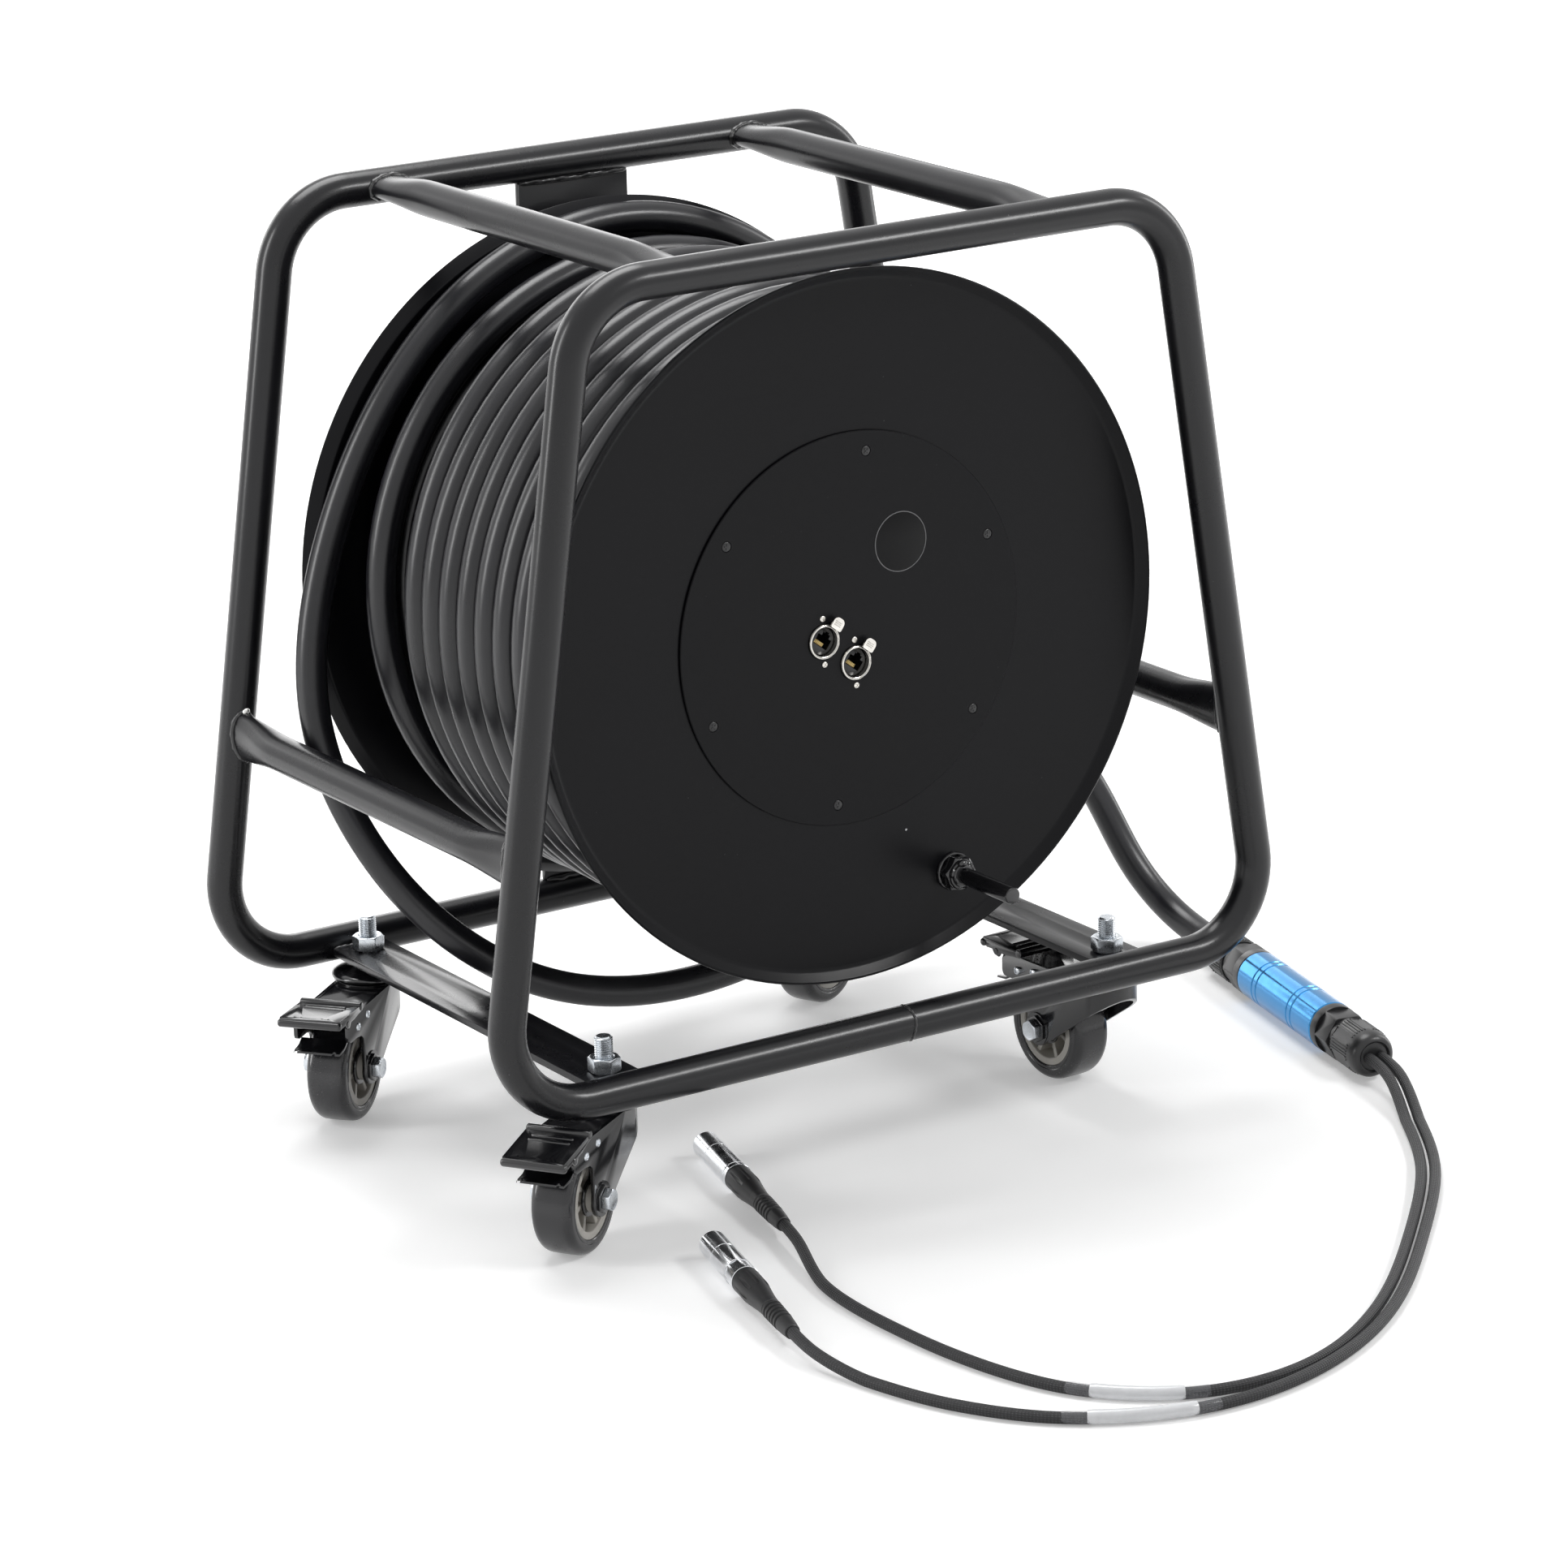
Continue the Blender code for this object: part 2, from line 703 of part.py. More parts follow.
def caster_tyre_mesh():
    edge = TYRE_W / 2
    inner = bore_radius(HUB_R + GAP, TYRE_STEPS)
    half = [(inner, edge), (WHEEL_R - TYRE_ROUND, edge), (WHEEL_R, edge - TYRE_ROUND)]
    profile = half + [(r, -h) for r, h in reversed(half)]
    return wheel_piece("caster_tyre", profile, TYRE_STEPS)


def caster_axle_mesh():
    """The wheel's bolt, with its head on one side and its nut on the other."""
    reach = CHEEK_IN + CHEEK_T + AXLE_BOSS_T + GAP
    bolt = rod("caster_axle", (0, 0, 0), (0, 1, 0), AXLE_R, 2 * reach + AXLE_HEAD, 12)
    for sign in (-1, 1):
        centre = (0.0, sign * (reach + AXLE_HEAD / 2), 0.0)
        head = rod("head", centre, (0, 1, 0), hex_radius(AXLE_AF), AXLE_HEAD, 6, cutter=True)
        boolean(bolt, head, "UNION")
    return baked(bolt)


def pedal_outline(pitch):
    """Side view of the brake pedal about its hinge roll."""
    half = PEDAL_T / 2
    roll = []
    for degrees in (55, 100, 145, 190, 235, 280, 315):
        angle = math.radians(degrees)
        roll.append((PEDAL_ROLL_R * math.cos(angle), PEDAL_ROLL_R * math.sin(angle)))
    end = PEDAL_REACH
    plate = [
        (0.0060, -half), (end - PEDAL_T - 0.0008, -half),
        (end - PEDAL_T, -half - PEDAL_LIP + 0.0012), (end - half, -half - PEDAL_LIP),
        (end, -half - PEDAL_LIP + 0.0012), (end, half - 0.0012), (end - 0.0014, half),
        (0.0045, half),
    ]
    flat = roll + plate
    cos, sin = math.cos(pitch), math.sin(pitch)
    return [(s * cos - h * sin, s * sin + h * cos) for s, h in flat]


def caster_pedal_mesh(pitch):
    plate = outline_plate("caster_pedal", pedal_outline(pitch), PEDAL_W)
    return baked(upright(plate, 0.0))


def pedal_axis_height():
    return fork_top() + 0.0010 + GAP + PEDAL_ROLL_R


def place_copy(name, template, x, y, turn, arm, height, mat):
    mesh = template.data.copy()
    mesh.transform(template.matrix_world)
    obj = new_object(name, mesh)
    obj.location = (x + arm * math.cos(turn), y + arm * math.sin(turn), height)
    obj.rotation_euler = (0.0, 0.0, turn)
    return finish(obj, mat, 35)


def casters(mats):
    templates = {
        "stem": caster_stem_mesh(), "nut": caster_nut_mesh(), "fork": caster_fork_mesh(),
        "hub": caster_hub_mesh(), "tyre": caster_tyre_mesh(), "axle": caster_axle_mesh(),
    }
    pedals = {True: caster_pedal_mesh(-PEDAL_DOWN), False: caster_pedal_mesh(-PEDAL_UP)}
    for suffix, side, row, turn, pressed in CASTERS:
        x = side * BAR_X
        y = FRAME_MID_Y + (STEM_Y_FRONT if row == "front" else STEM_Y_REAR)
        for piece, arm, height, mat in (
            ("stem", 0.0, 0.0, mats["zinc"]), ("nut", 0.0, 0.0, mats["zinc"]),
            ("fork", 0.0, 0.0, mats["caster_black"]), ("hub", TRAIL, WHEEL_R, mats["hub_grey"]),
            ("tyre", TRAIL, WHEEL_R, mats["tyre"]), ("axle", TRAIL, WHEEL_R, mats["zinc"]),
        ):
            name = "caster_" + piece + "_" + suffix
            place_copy(name, templates[piece], x, y, turn, arm, height, mat)
        place_copy(
            "caster_pedal_" + suffix, pedals[pressed], x, y, turn,
            PEDAL_AXIS_S, pedal_axis_height(), mats["caster_black"],
        )
    for template in list(templates.values()) + list(pedals.values()):
        bpy.data.objects.remove(template, do_unlink=True)


def spindle(mats):
    """Shaft welded to the plate, with the collar that the drum runs against."""
    root = PLATE_FRONT_Y - GAP
    seat = REAR_OUT_Y + SLIDE_GAP
    end = FRAME_MID_Y + HUB_SLEEVE_END - SLIDE_GAP - SHAFT_NUT_T - SHAFT_THREAD_OUT
    profile = [
        (0.0, root), (COLLAR_R, root), (COLLAR_R, seat), (SHAFT_R, seat),
        (SHAFT_R, end + 0.001), (SHAFT_R - 0.001, end), (0.0, end),
    ]
    shaft = along_shaft(turned("spindle", profile, SHAFT_STEPS, closed=False))
    finish(shaft, mats["steel"], 35)
    top = FRAME_MID_Y + HUB_SLEEVE_END - SLIDE_GAP
    centre = (0.0, top - SHAFT_NUT_T / 2, SHAFT_Z)
    nut = rod("spindle_nut", centre, (0, 1, 0), hex_radius(SHAFT_NUT_AF), SHAFT_NUT_T, 6)
    radius = bore_radius(SHAFT_R + GAP, SHAFT_STEPS)
    hole = rod("nut_bore", centre, (0, 1, 0), radius, 3 * SHAFT_NUT_T, SHAFT_STEPS, cutter=True)
    finish(baked(boolean(nut, hole, "DIFFERENCE")), mats["zinc"])


def drum_barrel(mats):
    """Barrel with its rear web and the hub sleeve that runs on the shaft."""
    top = REAR_FACE_Y - GAP
    bottom = FRONT_FACE_Y + GAP
    inner = BARREL_R - BARREL_WALL
    web = top - BARREL_WEB
    end = FRAME_MID_Y + HUB_SLEEVE_END
    bore = bore_radius(SHAFT_R + SLIDE_GAP, SHAFT_STEPS)
    profile = [
        (BARREL_R, top), (BARREL_R, bottom), (inner, bottom), (inner, web),
        (HUB_SLEEVE_R, web), (HUB_SLEEVE_R, end), (bore, end), (bore, top),
    ]
    return finish(along_shaft(turned("drum_barrel", profile, SHAFT_STEPS)), mats["black_coat"], 35)


def rear_flange(mats):
    face = REAR_FACE_Y
    out = REAR_OUT_Y
    bore = bore_radius(SHAFT_R + SEAT_GAP, TURN_STEPS)
    profile = [
        (bore, out), (FLANGE_FLAT_R - 0.0015, out),
        (FLANGE_R - 0.0018, out + FLANGE_FLARE - 0.001), (FLANGE_R, face + FLANGE_FLARE),
        (FLANGE_FLAT_R, face), (bore, face),
    ]
    return finish(along_shaft(turned("rear_flange", profile, TURN_STEPS)), mats["black_coat"], 35)


def front_flange(mats):
    face = FRONT_FACE_Y
    out = FRONT_OUT_Y
    profile = [
        (FLANGE_OPENING_R, face), (FLANGE_FLAT_R, face), (FLANGE_R, face - FLANGE_FLARE),
        (FLANGE_R - 0.0018, out - FLANGE_FLARE + 0.001), (FLANGE_FLAT_R - 0.0015, out),
        (FLANGE_OPENING_R, out),
    ]
    return finish(along_shaft(turned("front_flange", profile, TURN_STEPS)), mats["black_coat"], 35)


def panel_point(u, v, y):
    """A point given across and up the turned connector panel."""
    cos, sin = math.cos(PANEL_TURN), math.sin(PANEL_TURN)
    return (u * cos - v * sin, y, SHAFT_Z + u * sin + v * cos)


def panel_box(name, u, v, y_low, y_high, size_u, size_v, cutter=False):
    centre = panel_point(u, v, (y_low + y_high) / 2)
    obj = box(name, centre, (size_u, y_high - y_low, size_v), cutter)
    obj.rotation_euler = (0.0, -PANEL_TURN, 0.0)
    return obj


def leg_slot(name, u):
    v = SOCKET_V + TAB_V
    size_u = TAB_LEG_U + 2 * GAP
    size_v = TAB_LEG_V + 2 * GAP
    return panel_box(name, u, v, PANEL_Y - 0.01, PANEL_Y + 0.03, size_u, size_v, cutter=True)


def connector_panel(mats):
    centre = (0.0, (PANEL_Y + PANEL_BACK_Y) / 2, SHAFT_Z)
    disc = rod("connector_panel", centre, (0, 1, 0), PANEL_R, PANEL_T, TURN_STEPS)
    for u in (-SOCKET_U, SOCKET_U):
        radius = bore_radius(SOCKET_R + GAP, 24)
        place = panel_point(u, SOCKET_V, PANEL_Y)
        boolean(disc, rod("hole", place, (0, 1, 0), radius, 0.02, 24, cutter=True), "DIFFERENCE")
        boolean(disc, leg_slot("slot", u), "DIFFERENCE")
    return finish(baked(disc), mats["panel_black"], 35)


def socket(name, u, mats):
    """Round connector shell with its rear plate and the jack inside."""
    front = PANEL_Y - SOCKET_PROUD
    back = front + SOCKET_LENGTH
    floor = front + SOCKET_DEPTH
    profile = [
        (0.0, back), (SOCKET_R, back), (SOCKET_R, front), (SOCKET_BORE_R, front),
        (SOCKET_BORE_R, floor), (0.0, floor),
    ]
    shell = turned(name, profile, 24, closed=False)
    shell.rotation_euler = (-math.pi / 2, 0.0, 0.0)
    place = panel_point(u, SOCKET_V, 0.0)
    shell.location = place
    shell = baked(shell)
    plate_front = PANEL_BACK_Y + GAP
    plate = panel_box(
        "plate", u, SOCKET_V, plate_front, plate_front + SOCKET_PLATE_T,
        SOCKET_PLATE_U, SOCKET_PLATE_V, cutter=True,
    )
    bore = rod("bore", (place[0], front, place[2]), (0, 1, 0), SOCKET_BORE_R + 0.0006,
               0.04, 24, cutter=True)
    boolean(shell, baked(boolean(plate, bore, "DIFFERENCE")), "UNION")
    jack = panel_box(
        "jack", u, SOCKET_V, front + JACK_SET_BACK, floor + 0.002, JACK_U, JACK_V, cutter=True
    )
    boolean(shell, jack, "UNION")
    port = panel_box(
        "port", u, SOCKET_V, front - 0.001, front + JACK_SET_BACK + PORT_DEPTH,
        PORT_U, PORT_V, cutter=True,
    )
    boolean(shell, port, "DIFFERENCE")
    boolean(shell, leg_slot("slot", u), "DIFFERENCE")
    return finish(baked(shell), mats["nickel"], 35)


def socket_tab(name, u, mats):
    """Release tab whose leg slides in a slot through the panel."""
    v = SOCKET_V + TAB_V
    front = PANEL_Y - TAB_PROUD
    tab = panel_box(name, u, v, front, front + TAB_T, TAB_U_SIZE, TAB_V_SIZE)
    end = PANEL_BACK_Y + TAB_LEG_END
    leg = panel_box("leg", u, v, front + TAB_T / 2, end, TAB_LEG_U, TAB_LEG_V, cutter=True)
    return finish(baked(boolean(tab, leg, "UNION")), mats["nickel"])


def crank_peg(mats):
    x = CRANK_ORBIT * math.cos(CRANK_ANGLE)
    z = SHAFT_Z + CRANK_ORBIT * math.sin(CRANK_ANGLE)
    base = FRONT_OUT_Y - GAP
    nut = rod(
        "crank_peg", (x, base - CRANK_NUT_H / 2, z), (0, 1, 0),
        hex_radius(CRANK_NUT_AF), CRANK_NUT_H, 6,
    )
    tip = base - CRANK_LENGTH
    profile = [
        (0.0, base - 0.002), (CRANK_COLLAR_R, base - 0.002),
        (CRANK_COLLAR_R, base - CRANK_NUT_H - CRANK_COLLAR_H),
        (CRANK_R, base - CRANK_NUT_H - CRANK_COLLAR_H), (CRANK_R, tip + 0.001),
        (CRANK_R - 0.001, tip), (0.0, tip),
    ]
    bar = turned("peg", profile, 16, closed=False, cutter=True)
    bar.rotation_euler = (-math.pi / 2, 0.0, 0.0)
    bar.location = (x, 0.0, z)
    return finish(baked(boolean(nut, baked(bar), "UNION")), mats["black_coat"], 35)


def ease(value):
    value = min(max(value, 0.0), 1.0)
    return value * value * (3 - 2 * value)


def wind_place(turns):
    """Radius, angle and distance along the shaft after some turns.

    Each tight turn lies flat and steps across near the bottom. The last one
    steps wide over a whole turn, then the cable ramps out to its loose end.
    """
    whole = math.floor(turns)
    cross = turns - whole - WIND_CROSS_FROM_TURNS
    cross = ease(cross / (WIND_CROSS_TO_TURNS - WIND_CROSS_FROM_TURNS))
    y = WIND_FIRST_Y + WIND_PITCH * (whole + cross)
    last = WIND_TURNS - 1
    if turns > last:
        y = WIND_FIRST_Y + WIND_PITCH * last + LAST_TURN_STEP * ease(turns - last)
    if turns > last + 1:
        y += WIND_END_STEP * ease((turns - last - 1) / WIND_END_TURNS)
    end = last + 1 + WIND_END_TURNS
    ramp = max((turns - (end - RAMP_TURNS)) / RAMP_TURNS, 0.0)
    radius = WIND_R + RAMP_RISE * ramp ** RAMP_POWER
    angle = math.pi - 2 * math.pi * turns
    return radius, angle, y


def shaft_point(radius, angle, y):
    return Vector((radius * math.cos(angle), FRAME_MID_Y + y, SHAFT_Z + radius * math.sin(angle)))


def loose_start():
    """Where the winding ends and the way the cable points there."""
    end = WIND_TURNS + WIND_END_TURNS
    here = shaft_point(*wind_place(end))
    before = shaft_point(*wind_place(end - 0.01))
    return here, (here - before).normalized()


def wind_points():
    end = WIND_TURNS + WIND_END_TURNS
    here, heading = loose_start()
    straight_from = here - heading * CABLE_D * 1.15
    count = int(round((end - WIND_START_TURNS) * LOOP_POINTS))
    points = []
    for k in range(count):
        turns = WIND_START_TURNS + k / LOOP_POINTS
        if (end - turns) * 2 * math.pi * WIND_R < CABLE_D * 2.2:
            break
        points.append(shaft_point(*wind_place(turns)))
    points += [straight_from, here]
    return points


def cable_winding(mats):
    points = wind_points()
    print("winding: least gap to itself %.2f mm" % (least_gap(points, CABLE_D, 8) * 1000))
    return finish(tube("cable_winding", points, CABLE_D / 2, 1), mats["cable"])


def cable_core(mats):
    """The turns under the outer layer, as one plain ring round the barrel."""
    inner = bore_radius(BARREL_R + GAP, TURN_STEPS)
    profile = [
        (CORE_R, REAR_FACE_Y - GAP), (CORE_R, FRONT_FACE_Y + GAP),
        (inner, FRONT_FACE_Y + GAP), (inner, REAR_FACE_Y - GAP),
    ]
    return finish(along_shaft(turned("cable_core", profile, TURN_STEPS)), mats["cable"], 35)


def splice_frame():
    """Start, direction and height of the splice lying on the floor."""
    direction = Vector((*SPLICE_DIR, 0.0)).normalized()
    start = Vector((SPLICE_START[0], FRAME_MID_Y + SPLICE_START[1], SPLICE_R + GAP))
    return start, direction


def loose_route():
    here, heading = loose_start()
    start = here + heading * GAP
    route = [start, start + heading * CABLE_D, start + heading * CABLE_D * 1.4]
    for degrees, radius, y in LOOSE_TURN:
        route.append(shaft_point(radius, math.radians(degrees), y))
    for x, y, rise in LOOSE_DROP:
        route.append(Vector((x, FRAME_MID_Y + y, RAIL_Z + rise)))
    end, direction = splice_frame()
    end = end - direction * GAP
    route += [end - direction * CABLE_D * 1.4, end - direction * CABLE_D, end]
    return [tuple(p) for p in route]


def cord_points(route, step):
    """A smooth cord whose two ends run straight into what they meet."""
    middle = smooth_route(route[1:-1], step)
    return np.concatenate([[route[0]], middle, [route[-1]]])


def cable_loose_turn(mats):
    points = cord_points(loose_route(), LOOSE_STEP)
    run = float(np.linalg.norm(np.diff(points, axis=0), axis=1).sum())
    gap = least_gap(points, CABLE_D, 4) * 1000
    print("loose turn: length %.3f m, least gap to itself %.2f mm" % (run, gap))
    return finish(tube("cable_loose_turn", points, CABLE_D / 2, 2), mats["cable"])


def lay(obj, start, direction):
    """Lay a turned piece down, its local +Z from the start along a direction."""
    obj.rotation_euler = direction.to_track_quat("Z", "Y").to_euler()
    obj.location = start
    return obj


def gland_profile(flip):
    length = GLAND_LENGTH - GAP
    half = [
        (0.0, 0.0), (GLAND_NECK_R, 0.0), (GLAND_NUT_R, 0.012), (GLAND_NUT_R, 0.037),
        (GLAND_NUT_R - 0.0022, 0.038), (GLAND_NUT_R - 0.0022, 0.042), (GLAND_NUT_R, 0.043),
        (GLAND_NUT_R, length), (0.0, length),
    ]
    if flip:
        return [(r, length - s) for r, s in half]
    return half[::-1]


def splice(mats):
    """Blue splice tube with a cable gland screwed into each end."""
    start, direction = splice_frame()
    gland = turned("splice_gland_in", gland_profile(False), 20, closed=False)
    finish(lay(gland, start, direction), mats["gland_black"], 35)
    body_start = start + direction * GLAND_LENGTH
    length = SPLICE_BODY_LENGTH - GAP
    profile = [(0.0, length), (SPLICE_R, length), (SPLICE_R, 0.0), (0.0, 0.0)]
    body = turned("splice_body", profile, 20, closed=False)
    finish(lay(body, body_start, direction), mats["blue_anodised"], 35)
    out_start = body_start + direction * SPLICE_BODY_LENGTH
    gland = turned("splice_gland_out", gland_profile(True), 20, closed=False)
    finish(lay(gland, out_start, direction), mats["gland_black"], 35)


def tails(mats):
    """The two network tails, from the splice's far end to their plugs."""
    start, direction = splice_frame()
    total = 2 * GLAND_LENGTH + SPLICE_BODY_LENGTH
    across = Vector((-direction.y, direction.x, 0.0))
    for name, points, side, end, way in (
        ("tail_inner", TAIL_INNER, 1.0, PLUG_INNER_END, PLUG_INNER_DIR),
        ("tail_outer", TAIL_OUTER, -1.0, PLUG_OUTER_END, PLUG_OUTER_DIR),
    ):
        first = start + direction * total - across * TAIL_SPREAD * side
        route = [first, first + direction * TAIL_D, first + direction * TAIL_D * 1.6]
        low = TAIL_D / 2 + GAP
        for x, y in points:
            route.append(Vector((x, FRAME_MID_Y + y, low)))
        way = Vector((*way, 0.0)).normalized()
        last = Vector((end[0], FRAME_MID_Y + end[1], PLUG_R + GAP)) - way * GAP
        route += [last - way * TAIL_D * 1.6, last - way * TAIL_D, last]
        curve = cord_points([tuple(p) for p in route], TAIL_STEP)
        run = float(np.linalg.norm(np.diff(curve, axis=0), axis=1).sum())
        print("%s: length %.3f m" % (name, run))
        finish(tube(name, curve, TAIL_D / 2, 2), mats["tail_braid"])


def plug(suffix, end, way, mats):
    """Metal plug shell, open at its front, with its bushing and ribbed boot."""
    way = Vector((*way, 0.0)).normalized()
    start = Vector((end[0], FRAME_MID_Y + end[1], PLUG_R + GAP))
    boot_length = PLUG_BOOT_LENGTH + PLUG_BUSH_LENGTH - GAP
    profile = [
        (0.0, boot_length), (PLUG_R - 0.0004, boot_length), (PLUG_R - 0.0004, 0.062),
        (PLUG_R - 0.0026, PLUG_BOOT_LENGTH), (PLUG_BOOT_R + 0.0008, 0.046),
        (PLUG_BOOT_R, 0.002), (PLUG_BOOT_R - 0.0008, 0.0), (0.0, 0.0),
    ]
    boot = turned("plug_boot_" + suffix, profile, SMALL_STEPS, closed=False)
    finish(lay(boot, start, way), mats["boot_black"], 35)
    length = PLUG_SHELL_LENGTH
    profile = [
        (0.0, length - PLUG_BORE_DEPTH), (PLUG_BORE_R, length - PLUG_BORE_DEPTH),
        (PLUG_BORE_R, length), (PLUG_R, length), (PLUG_R, 0.0), (0.0, 0.0),
    ]
    shell = turned("plug_shell_" + suffix, profile, SMALL_STEPS, closed=False)
    shell_start = start + way * (PLUG_BOOT_LENGTH + PLUG_BUSH_LENGTH)
    finish(lay(shell, shell_start, way), mats["chrome"], 35)


def main():
    clear_scene()
    mats = {
        "black_tube": material("black_tube", (0.012, 0.012, 0.014), 0.34, 0.0),
        "black_coat": material("black_coat", (0.010, 0.010, 0.011), 0.42, 0.0),
        "panel_black": material("panel_black", (0.012, 0.012, 0.013), 0.50, 0.0),
        "steel": material("steel", (0.55, 0.55, 0.56), 0.35, 1.0),
        "zinc": material("zinc", (0.62, 0.64, 0.66), 0.30, 1.0),
        "nickel": material("nickel", (0.70, 0.69, 0.66), 0.22, 1.0),
        "chrome": material("chrome", (0.78, 0.78, 0.78), 0.12, 1.0),
        "caster_black": material("caster_black", (0.010, 0.010, 0.011), 0.25, 0.0),
        "hub_grey": material("hub_grey", (0.42, 0.41, 0.37), 0.50, 0.0),
        "tyre": material("tyre", (0.012, 0.012, 0.013), 0.30, 0.0),
        "cable": material("cable", (0.016, 0.017, 0.019), 0.42, 0.0),
        "gland_black": material("gland_black", (0.012, 0.012, 0.012), 0.45, 0.0),
        "blue_anodised": material("blue_anodised", (0.03, 0.24, 0.62), 0.25, 1.0),
        "tail_braid": material("tail_braid", (0.020, 0.020, 0.020), 0.70, 0.0),
        "boot_black": material("boot_black", (0.014, 0.014, 0.015), 0.50, 0.0),
    }
    hoop("front_hoop", FRONT_Y, mats["black_tube"])
    hoop("rear_hoop", REAR_Y, mats["black_tube"])
    top_tube("top_tube_left", TOP_TUBE_X_LEFT, mats["black_tube"])
    top_tube("top_tube_right", TOP_TUBE_X_RIGHT, mats["black_tube"])
    side_tube("side_tube_left", -1, mats["black_tube"])
    side_tube("side_tube_right", 1, mats["black_tube"])
    caster_bar("caster_bar_left", -1, mats["black_tube"])
    caster_bar("caster_bar_right", 1, mats["black_tube"])
    spindle_plate(mats["black_tube"])
    casters(mats)
    spindle(mats)
    drum_barrel(mats)
    rear_flange(mats)
    front_flange(mats)
    connector_panel(mats)
    for index, u in ((1, -SOCKET_U), (2, SOCKET_U)):
        socket("socket_shell_%d" % index, u, mats)
        socket_tab("socket_tab_%d" % index, u, mats)
    crank_peg(mats)
    cable_core(mats)
    cable_winding(mats)
    cable_loose_turn(mats)
    splice(mats)
    tails(mats)
    plug("inner", PLUG_INNER_END, PLUG_INNER_DIR, mats)
    plug("outer", PLUG_OUTER_END, PLUG_OUTER_DIR, mats)
    bpy.context.view_layer.update()
    total = 0
    graph = bpy.context.evaluated_depsgraph_get()
    for obj in bpy.data.collections[PARTS].objects:
        mesh = obj.evaluated_get(graph).to_mesh()
        mesh.calc_loop_triangles()
        total += len(mesh.loop_triangles)
    print("parts: %d, triangles: %d" % (len(bpy.data.collections[PARTS].objects), total))


main()
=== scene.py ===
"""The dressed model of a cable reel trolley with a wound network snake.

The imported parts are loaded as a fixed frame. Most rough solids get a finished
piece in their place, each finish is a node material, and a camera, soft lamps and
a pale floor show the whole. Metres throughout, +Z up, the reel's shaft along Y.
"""

import logging
import math
from dataclasses import dataclass, field
from enum import Enum
from functools import lru_cache
from typing import Callable, List, Mapping, Optional, Sequence, Tuple, Union

import bpy
import numpy as np
from mathutils import Matrix, Vector

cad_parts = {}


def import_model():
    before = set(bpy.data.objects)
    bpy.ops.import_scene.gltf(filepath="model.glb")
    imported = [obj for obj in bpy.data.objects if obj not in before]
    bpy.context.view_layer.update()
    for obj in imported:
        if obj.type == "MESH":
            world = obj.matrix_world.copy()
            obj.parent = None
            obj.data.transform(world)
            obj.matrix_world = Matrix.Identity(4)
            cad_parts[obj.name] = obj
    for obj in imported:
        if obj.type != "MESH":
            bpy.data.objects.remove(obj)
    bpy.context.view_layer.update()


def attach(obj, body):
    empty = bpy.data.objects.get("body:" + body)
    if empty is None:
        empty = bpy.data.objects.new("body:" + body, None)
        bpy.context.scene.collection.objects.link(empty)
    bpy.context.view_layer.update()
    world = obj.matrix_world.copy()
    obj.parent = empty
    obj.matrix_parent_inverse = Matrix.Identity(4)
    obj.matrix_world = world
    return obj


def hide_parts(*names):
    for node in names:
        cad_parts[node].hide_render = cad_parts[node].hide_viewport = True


LOG = logging.getLogger("cable_reel")
Point = Tuple[float, float, float]
Colour = Tuple[float, float, float]
Profile = Sequence[Tuple[float, float]]
Test = Callable[[Vector, Vector], bool]
SKIN = 0.0003


def clear_bench() -> None:
    """Leave edit mode, select nothing, and go back to picking vertices."""
    active = bpy.context.view_layer.objects.active
    if active is not None and active.mode != "OBJECT":
        bpy.ops.object.mode_set(mode="OBJECT")
    bpy.ops.object.select_all(action="DESELECT")
    bpy.context.tool_settings.mesh_select_mode = (True, False, False)


def turn_to(direction: Vector) -> Matrix:
    """A turn that points local +Z along a direction."""
    return direction.to_track_quat("Z", "Y").to_matrix().to_4x4()


def spun(angle: float, axis: str) -> Matrix:
    """A turn about a local axis."""
    return Matrix.Rotation(angle, 4, axis)


def shifted(x: float, y: float, z: float) -> Matrix:
    """A move by three lengths."""
    return Matrix.Translation((x, y, z))


def facing(sign: int) -> Matrix:
    """Leaves local Z alone for 1, and turns it the other way for -1."""
    return spun(math.pi if sign < 0 else 0.0, "X")


def mm(*values: float) -> List[Tuple[float, float]]:
    """Pairs of lengths in metres, from a flat row of millimetres."""
    metres = [value / 1000.0 for value in values]
    return list(zip(metres[::2], metres[1::2]))


